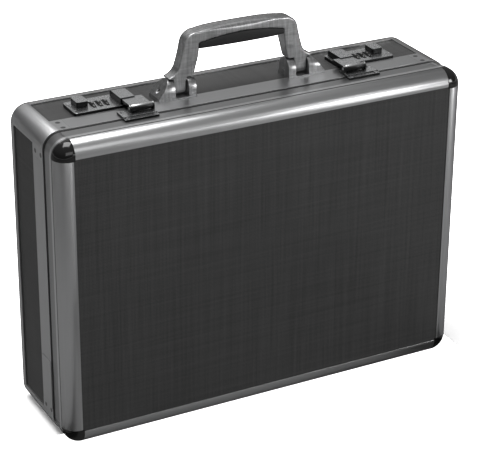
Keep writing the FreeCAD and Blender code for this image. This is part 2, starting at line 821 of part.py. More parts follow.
def handle_bracket():
    """Forked bracket: two rounded cheeks on a foot, the outer one sloping out to the foot's end."""
    top = "(handle_z + cheek_radius)"
    low = "(case_height + 0.05)"
    front_view = extrusion("bracket_front_view", "y", [
        ("bracket_in", low), ("bracket_out", low), ("bracket_out", "foot_top"),
        ("cheek_out", top), ("slot_out", top),
        ("slot_out", "slot_floor"), ("slot_in", "slot_floor"), ("slot_in", top), ("bracket_in", top)],
        "foot_front", "foot_rear")
    side_view = extrusion("bracket_side_view", "x", [
        ("foot_front", low), ("foot_rear", low), ("foot_rear", "foot_top"),
        ("handle_y + cheek_radius", "foot_top"), ("handle_y + cheek_radius", "handle_z"),
        ("handle_y", top, "cheek_radius", 1), ("handle_y - cheek_radius", "handle_z", "cheek_radius", 1),
        ("handle_y - cheek_radius", "foot_top"), ("foot_front", "foot_top")],
        "bracket_in - 1", "bracket_out + 1")
    sole = box("bracket_sole", ("bracket_in", "edge_rear + running_gap", f"case_height - {BOARD_OUT} + fit"),
               ("bracket_out", "foot_rear", "case_height + 0.5"))
    blank = joined("bracket_blank", [common("bracket_common", front_view, side_view), sole])
    tools = [rod("bracket_bore", "x", ("bracket_in - 1", "handle_y", "handle_z"), "bracket_out",
                 "handle_bore_radius")]
    tools += [rod("bracket_screw_hole", "z", (x, y, "case_height - 10"), "12", "screw_radius + fit")
              for x, y in handle_screw_places()[2:]]
    return cut("handle_bracket_right", blank, tools)


def handle_mounting():
    both_sides("handle_bracket", handle_bracket())
    pin = rod("handle_pin", "x", ("bracket_in + 1", "handle_y", "handle_z"), "cheek_out - bracket_in - 1.2",
              "handle_pin_radius")
    keep("handle_pins", group("handle_pins", [pin, mirror_x("handle_pin_left", pin)]))
    top = f"(case_height - {BOARD_IN} - fit)"
    plate = cut("backing_plate", box("backing_plate_blank", ("bracket_in", "2", f"{top} - 1.8"),
                                     ("bracket_out", "foot_rear", top)),
                [rod("backing_hole", "z", (x, y, "case_height - 20"), "20", "screw_radius + fit")
                 for x, y in handle_screw_places()[2:]])
    keep("handle_backing_plates", group("handle_backing_plates", [plate, mirror_x("backing_plate_left", plate)]))
    screws = []
    for x, y in handle_screw_places()[2:]:
        head = rod("handle_screw_head", "z", (x, y, f"{top} - 3.4"), "1.5", "screw_head_radius + 0.6")
        shank = rod("handle_screw_shank", "z", (x, y, f"{top} - 2"), f"case_height + 1.5 - {top} + 2",
                    "screw_radius")
        screws.append(joined("handle_screw", [head, shank]))
    right = group("handle_screws_right", screws)
    keep("handle_screws", group("handle_screws", [right, mirror_x("handle_screws_left", right)]))


def grip_arch_radius():
    """Radius of the grip's arched top, from its rise over half its length."""
    rise = "(grip_arch_mid - grip_arch_end)"
    return f"((grip_half_length ^ 2 + {rise} ^ 2) / (2 * {rise}))"


def mirrored_back(points):
    """The same stretch of outline on the other side of the middle, run back to its start with the same arcs."""
    arcs = [point[2:] for point in points[1:]]
    places = [(f"-({point[0]})", point[1]) for point in points[:-1]]
    return [place + arc for place, arc in zip(reversed(places), reversed(arcs))]


def handle_shell():
    """Arched metal handle: two legs down to round tongues, shoulders over the cheeks and an arched bridge."""
    seat = "(handle_z + cheek_radius + seat_gap)"
    root = "(handle_z - tongue_root_radius)"
    tongue_in = "(slot_in + running_gap)"
    tongue_out = "(slot_out - running_gap)"
    outside = [
        (tongue_out, root), (tongue_out, seat), ("cheek_out", seat), ("cheek_out", f"{seat} + shoulder_thick"),
        ("leg_foot_x", "leg_foot_z", "leg_flare_radius", -1), ("leg_top_x", "leg_top_z", "leg_radius", -1),
        ("bridge_end_x", "bridge_end_z", "handle_corner_radius", 1), ("0", "handle_top", "bridge_radius", 1)]
    grip_end = "-(grip_half_length + fit)"
    inside = [
        (f"-{tongue_in}", root), (f"-{tongue_in}", seat), ("-leg_inner_x", seat),
        (grip_end, "grip_bottom", "leg_inner_radius", 1), (grip_end, "grip_arch_end + fit"),
        ("0", "grip_arch_mid + fit", grip_arch_radius(), -1)]
    front_view = extrusion("handle_front_view", "y",
                           outside + mirrored_back(outside) + inside + mirrored_back(inside),
                           "handle_y - grip_half_depth - 1", "handle_y + grip_half_depth + 1")
    side_view = extrusion("handle_side_view", "x", handle_side_outline(), "-bracket_out", "bracket_out")
    shell = common("handle_common", common("handle_profile", front_view, side_view), handle_plan("handle_plan"))
    bore = rod("handle_bore", "x", ("-bracket_out", "handle_y", "handle_z"), "2 * bracket_out",
               "handle_bore_radius")
    seat_ring = rod("seat_ring_outer", "x", ("-bracket_out", "handle_y", "handle_z"), "2 * bracket_out",
                    "cheek_radius + seat_gap - fit")
    middle = box("seat_middle", (f"-{tongue_out}", "foot_front - 5", "slot_floor - 5"),
                 (tongue_out, "foot_rear + 5", "handle_top"))
    inner_ring = rod("inner_ring", "x", (f"-{tongue_in}", "handle_y", "handle_z"), f"2 * {tongue_in}",
                     "cheek_radius + seat_gap - fit")
    return cut("handle_shell", shell, [bore, cut("seat_ring", seat_ring, [middle]), inner_ring])


def handle_plan(name):
    """Plan view of the handle: straight at the legs and bowed out along the bridge, front and rear."""
    near = "handle_y - leg_half_depth"
    far = "handle_y + leg_half_depth"
    bow = "((plan_bow_reach ^ 2 + (grip_half_depth - leg_half_depth) ^ 2) / (2 * (grip_half_depth - leg_half_depth)))"
    return extrusion(name, "z", [
        ("-cheek_out", near), ("-plan_bow_reach", near), ("0", "handle_y - grip_half_depth", bow, 1),
        ("plan_bow_reach", near, bow, 1), ("cheek_out", near), ("cheek_out", far), ("plan_bow_reach", far),
        ("0", "handle_y + grip_half_depth", bow, 1), ("-plan_bow_reach", far, bow, 1), ("-cheek_out", far)],
        "slot_floor - 5", "handle_top + 1")


def handle_side_outline():
    """Side view of the handle: round foot, slim legs and a wider bridge with a rounded top."""
    mid = "handle_y"
    shoulder = "handle_top - handle_round"
    return [
        (f"{mid} - tongue_root_radius", "handle_z"),
        (f"{mid} + tongue_root_radius", "handle_z", "tongue_root_radius", 1),
        (f"{mid} + leg_half_depth", "handle_z + leg_root_rise"),
        (f"{mid} + leg_half_depth", "depth_flare_low"),
        (f"{mid} + grip_half_depth", "depth_flare_high"),
        (f"{mid} + grip_half_depth", shoulder),
        (f"{mid} + grip_half_depth - handle_round", "handle_top", "handle_round", 1),
        (f"{mid} - grip_half_depth + handle_round", "handle_top"),
        (f"{mid} - grip_half_depth", shoulder, "handle_round", 1),
        (f"{mid} - grip_half_depth", "depth_flare_high"),
        (f"{mid} - leg_half_depth", "depth_flare_low"),
        (f"{mid} - leg_half_depth", "handle_z + leg_root_rise"),
    ]


def handle_grip():
    """Grip insert under the bridge, flush with the bridge's bowed faces."""
    lens = extrusion("handle_grip_lens", "y", [
        ("-grip_half_length", "grip_bottom"), ("grip_half_length", "grip_bottom"),
        ("grip_half_length", "grip_arch_end"), ("0", "grip_arch_mid", grip_arch_radius(), 1),
        ("-grip_half_length", "grip_arch_end", grip_arch_radius(), 1)],
        "handle_y - grip_half_depth", "handle_y + grip_half_depth")
    return common("handle_grip", lens, handle_plan("handle_grip_plan"))


def lock_screw_places():
    """(x, y) of the four screws of each lock."""
    ledge = "((case_in - lock_in) / 2)"
    columns = (f"(lock_in + {ledge})", f"(lock_out - {ledge})")
    return [(f"{sign} * {x}", y) for sign in SIDES.values() for x in columns for y in ("9", "28")]


def dial_places():
    return [f"(dial_first + {index} * dial_pitch)" for index in range(3)]


def lock_plate():
    """Cover plate with rounded corners, three dial slots and the slider's slot."""
    low = f"(case_height - {BOARD_OUT} + fit)"
    blank = extrusion("lock_plate_blank", "z", rounded_rectangle(
        "lock_in", "lock_out", "lock_front", "lock_rear", "lock_corner"), low, "lock_top")
    through = ("case_height - 10", "case_height + 10")
    tools = []
    for x in dial_places():
        half = "(dial_thick / 2 + running_gap)"
        tools.append(box("dial_slot", (f"{x} - {half}", "dial_y - 8.3", through[0]),
                         (f"{x} + {half}", "dial_y + 8.3", through[1])))
    tools.append(box("slider_slot", ("slider_in + 1.2", "bolt_front - running_gap", through[0]),
                     ("slider_in + 6.8 + slider_travel", "bolt_rear + running_gap", through[1])))
    for x, y in lock_screw_places()[4:]:
        tools.append(rod("lock_screw_hole", "z", (x, y, through[0]), "20", "screw_radius + fit"))
        tools.append(rod("lock_screw_seat", "z", (x, y, "lock_top - screw_head_thick - fit"), "5",
                         "screw_head_radius + fit"))
    return cut("lock_plate_right", blank, tools)


def lock_case():
    """Open-topped case under the plate, with two lugs that carry the dials' axle."""
    top = f"(case_height - {BOARD_OUT} - 0.05)"
    outer = box("lock_case_outer", ("case_in", "case_front", "case_floor"), ("case_out", "case_rear", top))
    inner = box("lock_case_inner", ("case_in + case_wall", "case_front + case_wall", "case_floor + case_wall"),
                ("case_out - case_wall", "case_rear - case_wall", "case_height"))
    lugs = []
    for x in ("dial_first - 5.2", "dial_first + 2 * dial_pitch + 3.4"):
        lugs.append(box("axle_lug", (x, "dial_y - 4", "case_floor + case_wall / 2"),
                        (f"{x} + 1.8", "dial_y + 4", "dial_z + axle_lug_rise")))
    bore = rod("axle_bore", "x", ("case_in + 3", "dial_y", "dial_z"), "case_out - case_in - 6", "axle_radius + 0.02")
    return cut("lock_case_right", joined("lock_case_blank", [cut("lock_case_shell", outer, [inner])] + lugs), [bore])


def lock_slider():
    """Thumb button, its stem through the plate and the bolt that runs towards the hasp."""
    button = extrusion("slider_button", "z", rounded_rectangle(
        "slider_in", "slider_out", "slider_front", "slider_rear", "slider_corner"),
        "lock_top + running_gap", "slider_top")
    stem = box("slider_stem", ("slider_in + 1.5", "bolt_front", "bolt_low"),
               ("slider_in + 6.5", "bolt_rear", "lock_top + 1"))
    bolt = box("slider_bolt", ("hasp_block_out + 0.5", "bolt_front", "bolt_low"),
               ("slider_in + 4", "bolt_rear", "bolt_high"))
    return joined("slider_right", [button, stem, bolt])


def locks():
    both_sides("lock_plate", lock_plate())
    case = lock_case()
    keep("lock_cases", group("lock_cases", [case, mirror_x("lock_case_left", case)]))
    both_sides("slider", lock_slider())
    axle = rod("dial_axle", "x", ("dial_first - 5", "dial_y", "dial_z"), "2 * dial_pitch + 10", "axle_radius")
    keep("dial_axles", group("dial_axles", [axle, mirror_x("dial_axle_left", axle)]))
    screws = []
    for x, y in lock_screw_places()[4:]:
        head = rod("lock_screw_head", "z", (x, y, "lock_top - screw_head_thick"), "screw_head_thick",
                   "screw_head_radius")
        shank = rod("lock_screw_shank", "z", (x, y, "lock_top - 5.5"), "5", "screw_radius")
        screws.append(joined("lock_screw", [head, shank]))
    right = group("lock_screws_right", screws)
    keep("lock_screws", group("lock_screws", [right, mirror_x("lock_screws_left", right)]))
    for number, x in enumerate(dial_places(), start=1):
        both_sides(f"dial_{number}", dial(f"dial_{number}_right", x))


def dial(name, x):
    """Number wheel with ten finger notches round its rim."""
    start = f"{x} - dial_thick / 2"
    wheel = rod(name + "_wheel", "x", (start, "dial_y", "dial_z"), "dial_thick", "dial_radius")
    tools = [rod(name + "_bore", "x", (f"{start} - 1", "dial_y", "dial_z"), "dial_thick + 2", "dial_bore_radius")]
    for step in range(10):
        angle = f"({step} * 36 + 18)"
        tools.append(rod(name + "_notch", "x", (f"{start} - 1", f"dial_y + (dial_radius + 0.5) * sin({angle})",
                                                f"dial_z + (dial_radius + 0.5) * cos({angle})"),
                         "dial_thick + 2", "1"))
    return cut(name, wheel, tools)


# ---------------------------------------------------------------- hasps

def hasp_carrier():
    """Stepped plate on the lid strip with two lugs that hold the hasp's pin."""
    strip = "(case_height - strip_inset)"
    low = "(case_height + running_gap)"
    foot = f"({strip} + 0.05)"
    step = f"({LID_SEAM} - 1)"
    side_view = extrusion("carrier_side_view", "x", [
        ("carrier_front", foot), (step, foot), (step, low), ("carrier_rear", low),
        ("carrier_rear", f"{low} + carrier_thick"), (f"{step} - carrier_thick", f"{low} + carrier_thick"),
        (f"{step} - carrier_thick", f"{foot} + carrier_thick"), ("carrier_front", f"{foot} + carrier_thick")],
        "carrier_in", "carrier_out")
    lugs = []
    for x in ("hasp_in - running_gap - lug_thick", "hasp_out + running_gap"):
        lug = extrusion("carrier_lug", "x", [
            ("hasp_pivot_y - lug_radius", low), ("hasp_pivot_y + lug_radius", low),
            ("hasp_pivot_y + lug_radius", "hasp_pivot_z"),
            ("hasp_pivot_y", "hasp_pivot_z + lug_radius", "lug_radius", 1),
            ("hasp_pivot_y - lug_radius", "hasp_pivot_z", "lug_radius", 1)],
            x, f"{x} + lug_thick")
        lugs.append(lug)
    bore = rod("carrier_bore", "x", ("carrier_in - 1", "hasp_pivot_y", "hasp_pivot_z"),
               "carrier_out - carrier_in + 2", "hasp_pin_radius + 0.02")
    blank = joined("carrier_blank", [side_view] + lugs)
    holes = [rod("carrier_rivet_hole", "z", (x, y, "case_height - 5"), "10", "rivet_radius + fit")
             for x, y in carrier_rivet_places()]
    return cut("hasp_carrier_right", blank, [bore] + holes)


def carrier_rivet_places():
    """(x, y) of the rivet on a carrier's wing and the two in its foot."""
    foot_line = "carrier_front + carrier_rivet_edge"
    return [("carrier_out - 4", "carrier_rear - 3.5"), ("carrier_out - 4", foot_line),
            ("carrier_in + 4", foot_line)]


def hasp():
    """Lifting arm: a round nose on the pin, a flat neck and a block over the lock plate."""
    nose = rod("hasp_nose", "x", ("hasp_in", "hasp_pivot_y", "hasp_pivot_z"), "hasp_out - hasp_in",
               "hasp_nose_radius")
    neck = box("hasp_neck", ("hasp_in", "hasp_pivot_y", "hasp_pivot_z - 1.2"),
               ("hasp_out", "hasp_block_front + 2", "hasp_top - 1"))
    block = extrusion("hasp_block", "x", [
        ("hasp_block_front", "hasp_low"), ("hasp_block_rear", "hasp_low"),
        ("hasp_block_rear", "hasp_top - hasp_block_round"),
        ("hasp_block_rear - hasp_block_round", "hasp_top", "hasp_block_round", 1),
        ("hasp_block_front", "hasp_top")],
        "hasp_block_in", "hasp_block_out")
    bore = rod("hasp_bore", "x", ("hasp_in - 1", "hasp_pivot_y", "hasp_pivot_z"), "30", "hasp_bore_radius")
    return cut("hasp_right", joined("hasp_blank", [nose, neck, block]), [bore])


def hasps():
    both_sides("hasp_carrier", hasp_carrier())
    both_sides("hasp", hasp())
    start = "hasp_in - running_gap - lug_thick"
    pin = rod("hasp_pin", "x", (start, "hasp_pivot_y", "hasp_pivot_z"),
              "hasp_out - hasp_in + 2 * (running_gap + lug_thick)", "hasp_pin_radius")
    keep("hasp_pins", group("hasp_pins", [pin, mirror_x("hasp_pin_left", pin)]))
    rivets = []
    wing_top = "case_height + running_gap + carrier_thick"
    foot_top = "case_height - strip_inset + 0.05 + carrier_thick"
    for (x, y), top in zip(carrier_rivet_places(), (wing_top, foot_top, foot_top)):
        head = rod("carrier_rivet_head", "z", (x, y, f"{top} + 0.05"), "rivet_head_thick", "carrier_head_radius")
        shank = rod("carrier_rivet_shank", "z", (x, y, f"{top} - 0.9"), "1.2", "rivet_radius")
        rivets.append(joined("carrier_rivet", [head, shank]))
    right = group("carrier_rivets_right", rivets)
    keep("carrier_rivets", group("carrier_rivets", [right, mirror_x("carrier_rivets_left", right)]))


# ---------------------------------------------------------------- build, check and write

def build():
    fill_sheet()
    base_boards()
    base_frame()
    base_edges()
    base_corners()
    base_rivets()
    base_lining()
    hinge()
    stays()
    lid_frame()
    four_corners("lid_strip_corners", lid_strip_section())
    four_corners("lid_ball_corners", ball_section())
    lid_lining()
    lid_organizer()
    handle_mounting()
    keep("handle_shell", handle_shell())
    keep("handle_grip", handle_grip())
    locks()
    hasps()
    DOC.recompute()


def check():
    """Stop before anything is written if an object failed or a sub-part isn't sound."""
    failed = [item.Label for item in DOC.Objects if {"Invalid", "Error"} & set(item.State)]
    if failed:
        raise RuntimeError("objects that failed: " + ", ".join(failed))
    for label, item in NODES.items():
        if item.Shape.isNull() or not item.Shape.isValid() or not item.Shape.Solids:
            raise RuntimeError(label + " has no sound solid")


def write():
    os.makedirs("parts", exist_ok=True)
    for label, item in NODES.items():
        item.Shape.exportStep(f"parts/{label}.step")
    print(len(NODES), "sub-parts written")


build()
check()
write()
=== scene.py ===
import math

import bpy
from mathutils import Matrix, Vector, noise


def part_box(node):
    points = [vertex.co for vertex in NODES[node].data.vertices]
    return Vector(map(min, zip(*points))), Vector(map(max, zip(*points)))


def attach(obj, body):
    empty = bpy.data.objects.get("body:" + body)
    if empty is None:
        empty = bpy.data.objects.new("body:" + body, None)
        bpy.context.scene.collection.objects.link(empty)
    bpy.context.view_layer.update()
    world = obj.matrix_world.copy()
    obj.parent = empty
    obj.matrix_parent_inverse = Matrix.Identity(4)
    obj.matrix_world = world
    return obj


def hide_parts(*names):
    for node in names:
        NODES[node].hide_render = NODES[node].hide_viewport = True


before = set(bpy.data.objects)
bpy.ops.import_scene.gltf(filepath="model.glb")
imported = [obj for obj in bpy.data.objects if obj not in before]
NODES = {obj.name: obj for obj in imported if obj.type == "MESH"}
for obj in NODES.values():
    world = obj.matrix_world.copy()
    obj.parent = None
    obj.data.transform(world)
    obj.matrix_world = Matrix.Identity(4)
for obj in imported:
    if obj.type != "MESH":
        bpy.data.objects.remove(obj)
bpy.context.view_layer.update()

# An attache case: aluminium edge frames, dark woven laminate panels, two combination locks
# and a swinging handle.
# Lengths are in metres. The case stands on its hinge edge, with the lid towards -Y.

MM = 0.001
SIDES = ("left", "right")

# ---------------------------------------------------------------- camera, light and floor

CAMERA_AIM = Vector((0.0003, 0.0031, 0.1696))
CAMERA_AZIMUTH = math.radians(-27.87)
CAMERA_ELEVATION = math.radians(25.44)
CAMERA_ROLL = math.radians(0.353)
CAMERA_DISTANCE = 1.975
CAMERA_LENS = 143.2
SENSOR_WIDTH = 36.0


def add_camera():
    back = Vector((
        math.sin(CAMERA_AZIMUTH) * math.cos(CAMERA_ELEVATION),
        -math.cos(CAMERA_AZIMUTH) * math.cos(CAMERA_ELEVATION),
        math.sin(CAMERA_ELEVATION),
    ))
    right = Vector((math.cos(CAMERA_AZIMUTH), math.sin(CAMERA_AZIMUTH), 0.0))
    up = back.cross(right)
    axes = Matrix((right, up, back)).transposed().to_4x4()
    camera = bpy.data.objects.new("camera", bpy.data.cameras.new("camera"))
    camera.data.lens = CAMERA_LENS
    camera.data.sensor_width = SENSOR_WIDTH
    camera.data.clip_end = 50.0
    place = Matrix.Translation(CAMERA_AIM + back * CAMERA_DISTANCE)
    camera.matrix_world = place @ axes @ Matrix.Rotation(CAMERA_ROLL, 4, "Z")
    bpy.context.scene.collection.objects.link(camera)
    bpy.context.scene.camera = camera


# Name, place, aim, width, height and power in watts of each light.
LIGHTS = (
    ("overhead", (-0.35, 0.25, 2.3), (0.0, 0.0, 0.2), 1.3, 1.3, 28.0),
    ("behind", (0.2, 1.6, 1.7), (0.0, 0.0, 0.2), 2.4, 1.4, 3.5),
    ("front", (-0.6, -2.2, 1.35), (0.0, 0.0, 0.2), 1.8, 0.8, 6.0),
    ("strip", (1.05, -2.2, 0.72), (0.0, 0.0, 0.25), 1.6, 0.25, 4.2),
    ("right", (1.5, -1.5, 0.7), (0.15, 0.0, 0.15), 0.6, 0.6, 10.0),
)


def area_light(name, place, aim, width, height, power):
    data = bpy.data.lights.new(name, "AREA")
    data.shape = "RECTANGLE"
    data.size = width
    data.size_y = height
    data.energy = power
    light = bpy.data.objects.new(name, data)
    light.location = place
    light.rotation_euler = (Vector(aim) - Vector(place)).to_track_quat("-Z", "Y").to_euler()
    bpy.context.scene.collection.objects.link(light)


# The studio seen in each direction: pale below the horizon, dim walls round it, bright overhead.
STUDIO_BANDS = ((0.0, 1.0), (0.47, 1.0), (0.50, 0.03), (0.62, 0.06), (0.80, 0.12), (1.0, 0.17))
STUDIO_STRENGTH = 1.75


def add_world():
    world = bpy.data.worlds.new("studio")
    world.use_nodes = True
    tree = world.node_tree
    background = tree.nodes["Background"]
    direction = tree.nodes.new("ShaderNodeTexCoord")
    split = tree.nodes.new("ShaderNodeSeparateXYZ")
    height = tree.nodes.new("ShaderNodeMapRange")
    height.inputs["From Min"].default_value = -1.0
    bands = tree.nodes.new("ShaderNodeValToRGB")
    set_stops(bands.color_ramp, STUDIO_BANDS)
    background.inputs["Strength"].default_value = STUDIO_STRENGTH
    tree.links.new(direction.outputs["Generated"], split.inputs[0])
    tree.links.new(split.outputs["Z"], height.inputs["Value"])
    tree.links.new(height.outputs["Result"], bands.inputs["Fac"])
    tree.links.new(bands.outputs["Color"], background.inputs["Color"])
    bpy.context.scene.world = world


def set_stops(ramp, stops):
    while len(ramp.elements) < len(stops):
        ramp.elements.new(0.5)
    for element, (place, level) in zip(ramp.elements, stops):
        element.position = place
        element.color = (level, level, level, 1.0)


FLOOR_REACH = 6.0
FLOOR_GAP_X = 0.24
FLOOR_GAP_Y = (-0.42, -0.03)
FLOOR_STEP = 0.075
PAPER_DARKEST = 0.30
PAPER_PALEST = 0.32


def add_floor():
    """Paper that shows only shadows, with a gap in front, where the lid swings down.

    More paper lies below the gap. The camera doesn't see it, but lights and reflections do.
    """
    across = (-FLOOR_REACH, -FLOOR_GAP_X, FLOOR_GAP_X, FLOOR_REACH)
    along = (-FLOOR_REACH, *FLOOR_GAP_Y, FLOOR_REACH)
    gap = (1, 1)
    paper = Shader("floor_paper", roughness=0.9)
    paper.colour(paper.span(paper.noise((0.01, 0.01, 0.01)), PAPER_DARKEST, PAPER_PALEST))
    for name, height, keep in (("floor", 0.0, lambda column, row: (column, row) != gap),
                               ("floor_below", -FLOOR_STEP, None)):
        mesh = bpy.data.meshes.new(name)
        corners = [(x, y, height) for x in across for y in along]
        mesh.from_pydata(corners, [], grid_faces(len(across), len(along), keep=keep))
        mesh.materials.append(paper.material)
        floor = bpy.data.objects.new(name, mesh)
        bpy.context.scene.collection.objects.link(floor)
        floor.is_shadow_catcher = keep is not None
        floor.visible_camera = keep is not None


# ---------------------------------------------------------------- material building blocks


class Shader:
    """A Principled material in the making. Places are the object's own coordinates, in millimetres."""

    def __init__(self, name, metallic=0.0, roughness=0.5, **sockets):
        self.material = bpy.data.materials.new(name)
        self.material.use_nodes = True
        self.tree = self.material.node_tree
        self.surface = self.tree.nodes["Principled BSDF"]
        self.surface.inputs["Metallic"].default_value = metallic
        self.surface.inputs["Roughness"].default_value = roughness
        for name, value in sockets.items():
            self.surface.inputs[name.replace("_", " ").title()].default_value = value
        self.coordinates = self.add("ShaderNodeTexCoord")
        self.place = self.scaled(self.coordinates.outputs["Object"], (1 / MM, 1 / MM, 1 / MM))
        self.relief = None

    def add(self, kind, **settings):
        node = self.tree.nodes.new(kind)
        for name, value in settings.items():
            setattr(node, name, value)
        return node

    def feed(self, socket, value):
        if isinstance(value, bpy.types.NodeSocket):
            self.tree.links.new(value, socket)
        else:
            socket.default_value = value

    def scaled(self, vector, factors):
        node = self.add("ShaderNodeVectorMath", operation="MULTIPLY")
        self.feed(node.inputs[0], vector)
        node.inputs[1].default_value = factors
        return node.outputs[0]

    def axes(self):
        split = self.add("ShaderNodeSeparateXYZ")
        self.feed(split.inputs[0], self.place)
        return split.outputs

    def math(self, operation, first, second=0.0):
        node = self.add("ShaderNodeMath", operation=operation)
        self.feed(node.inputs[0], first)
        self.feed(node.inputs[1], second)
        return node.outputs[0]

    def noise(self, stretch, detail=3.0, roughness=0.55):
        """Noise with features about 1/stretch mm long along each axis, around 0.5."""
        node = self.add("ShaderNodeTexNoise")
        node.inputs["Scale"].default_value = 1.0
        node.inputs["Detail"].default_value = detail
        node.inputs["Roughness"].default_value = roughness
        self.feed(node.inputs["Vector"], self.scaled(self.place, stretch))
        return node.outputs["Fac"]

    def cells(self, scale, feature="F1"):
        node = self.add("ShaderNodeTexVoronoi", feature=feature)
        node.inputs["Scale"].default_value = 1.0
        self.feed(node.inputs["Vector"], self.scaled(self.place, (scale, scale, scale)))
        return node.outputs["Distance"]

    def span(self, value, low, high, start=0.0, end=1.0):
        """Value from start..end stretched to low..high, clamped."""
        node = self.add("ShaderNodeMapRange")
        self.feed(node.inputs["Value"], value)
        node.inputs["From Min"].default_value = start
        node.inputs["From Max"].default_value = end
        node.inputs["To Min"].default_value = low
        node.inputs["To Max"].default_value = high
        return node.outputs["Result"]

    def blend(self, factor, first, second):
        node = self.add("ShaderNodeMix", data_type="FLOAT")
        self.feed(node.inputs[0], factor)
        self.feed(node.inputs[2], first)
        self.feed(node.inputs[3], second)
        return node.outputs[0]

    def colour(self, level, tint=(1.0, 1.0, 1.0)):
        """Sets the base colour to a grey level, or to one that varies, times a tint."""
        socket = self.surface.inputs["Base Color"]
        if not isinstance(level, bpy.types.NodeSocket):
            socket.default_value = (*(level * part for part in tint), 1.0)
            return
        grey = self.add("ShaderNodeCombineColor")
        for part, factor in zip(grey.inputs, tint):
            self.feed(part, self.math("MULTIPLY", level, factor))
        self.feed(socket, grey.outputs[0])

    def rough(self, value):
        self.feed(self.surface.inputs["Roughness"], value)

    def bump(self, height, depth, strength=1.0):
        """Adds relief of that depth, in millimetres, to what is there already."""
        node = self.add("ShaderNodeBump")
        node.inputs["Strength"].default_value = strength
        node.inputs["Distance"].default_value = depth * MM
        self.feed(node.inputs["Height"], height)
        if self.relief:
            self.feed(node.inputs["Normal"], self.relief)
        self.relief = node.outputs[0]
        self.feed(self.surface.inputs["Normal"], self.relief)


def along_axis(axis, slow, fast):
    """Noise stretch that changes slowly along one axis, 0 to 2, and fast across it."""
    return tuple(slow if index == axis else fast for index in range(3))


METAL_TINT = (0.985, 0.99, 1.0)
PLATING_TINT = (0.98, 0.99, 1.0)

# Brightness of the lid's rail across its depth, from its front at -Y: painted shade in the grooves beside
# the ridge, along the flat strip and at the seam, and a painted highlight on the ridge.
LID_RAIL_DEPTH = (-61.0, -21.0)
LID_RAIL_SHADE_BANDS = (
    (0.0, 0.83), (0.367, 0.83), (0.378, 0.18), (0.425, 0.18), (0.437, 1.0), (0.527, 1.0),
    (0.535, 0.35), (0.565, 0.35), (0.575, 0.58), (0.900, 0.58), (0.920, 0.2), (1.0, 0.2),
)
LID_RAIL_GAIN = 1.2


def in_grooves(metal, shade):
    """Paints shade into the grooves, the flat strip and the seam of the lid's rail, and a highlight on its
    ridge.
    """
    ramp = metal.add("ShaderNodeValToRGB")
    set_stops(ramp.color_ramp, LID_RAIL_SHADE_BANDS)
    metal.feed(ramp.inputs["Fac"], metal.span(metal.axes()[1], 0.0, 1.0, *LID_RAIL_DEPTH))
    return metal.math("MULTIPLY", shade, metal.math("MULTIPLY", ramp.outputs["Color"], LID_RAIL_GAIN))


def brushed(name, along, level, roughness, rail_shade_painted=False):
    """Satin anodised metal with its brush lines along one axis, 0 to 2."""
    steel = Shader(name, metallic=1.0, roughness=roughness)
    fine = steel.noise(along_axis(along, 0.02, 5.0), detail=4.0, roughness=0.7)
    broad = steel.noise(along_axis(along, 0.003, 0.6), detail=2.0)
    cloud = steel.noise((0.02, 0.02, 0.02))
    shade = steel.math("ADD", steel.span(fine, -0.10, 0.10), steel.span(broad, -0.05, 0.05))
    shade = steel.math("ADD", shade, steel.span(cloud, -0.03, 0.03))
    shade = steel.math("ADD", steel.math("MULTIPLY", shade, level), level)
    # On the lid's rails the colour carries painted shade in the grooves and a painted highlight on the
    # ridge.
    steel.colour(in_grooves(steel, shade) if rail_shade_painted else shade, METAL_TINT)
    steel.rough(steel.math("ADD", steel.span(fine, -0.09, 0.09), roughness))
    steel.bump(fine, 0.012, 0.6)
    return steel


def cast_metal(name, level, roughness, grain=3.0, depth=0.012, rail_shade_painted=False):
    """Bead-blasted or plated metal: fine pearl grain, soft clouding and a few rubbed spots."""
    metal = Shader(name, metallic=1.0, roughness=roughness)
    pearl = metal.noise((grain, grain, grain), detail=4.0, roughness=0.6)
    cloud = metal.noise((0.05, 0.05, 0.05), detail=3.0)
    rubbed = metal.span(metal.noise((0.4, 0.4, 0.4), detail=5.0, roughness=0.7), 0.0, 1.0, 0.62, 0.72)
    shade = metal.math("ADD", metal.span(pearl, 0.92, 1.08), metal.span(cloud, -0.06, 0.06))
    shade = metal.math("ADD", shade, metal.math("MULTIPLY", rubbed, 0.05))
    shade = metal.math("MULTIPLY", shade, level)
    # On the lid's corners the colour carries painted shade in the grooves and a painted highlight on the
    # ridge.
    metal.colour(in_grooves(metal, shade) if rail_shade_painted else shade, METAL_TINT)
    metal.rough(metal.math("SUBTRACT", metal.span(pearl, roughness - 0.05, roughness + 0.05),
                           metal.math("MULTIPLY", rubbed, 0.05)))
    metal.bump(pearl, depth, 0.5)
    return metal


def drawn_metal(name, level, roughness):
    """Linished metal: long streaks both ways, darker where hands don't polish it, and small nicks."""
    metal = Shader(name, metallic=1.0, roughness=roughness)
    upright = metal.noise((0.5, 0.25, 0.035), detail=4.0, roughness=0.65)
    level_streaks = metal.noise((0.02, 0.5, 0.5), detail=4.0, roughness=0.65)
    hairs = metal.noise((2.5, 2.5, 0.15), detail=3.0, roughness=0.7)
    nicks = metal.span(metal.noise((0.5, 0.5, 0.5), detail=5.0, roughness=0.75), 0.0, 1.0, 0.66, 0.74)
    shade = metal.math("ADD", metal.span(upright, -0.38, 0.30, 0.25, 0.75),
                       metal.span(level_streaks, -0.20, 0.20, 0.25, 0.75))
    shade = metal.math("ADD", metal.math("ADD", shade, metal.span(hairs, -0.12, 0.12, 0.25, 0.75)), 1.0)
    shade = metal.math("SUBTRACT", shade, metal.math("MULTIPLY", nicks, 0.15))
    metal.colour(metal.math("MULTIPLY", shade, level), METAL_TINT)
    metal.rough(metal.math("ADD", metal.span(hairs, -0.08, 0.10), roughness))
    metal.bump(hairs, 0.02, 0.5)
    return metal


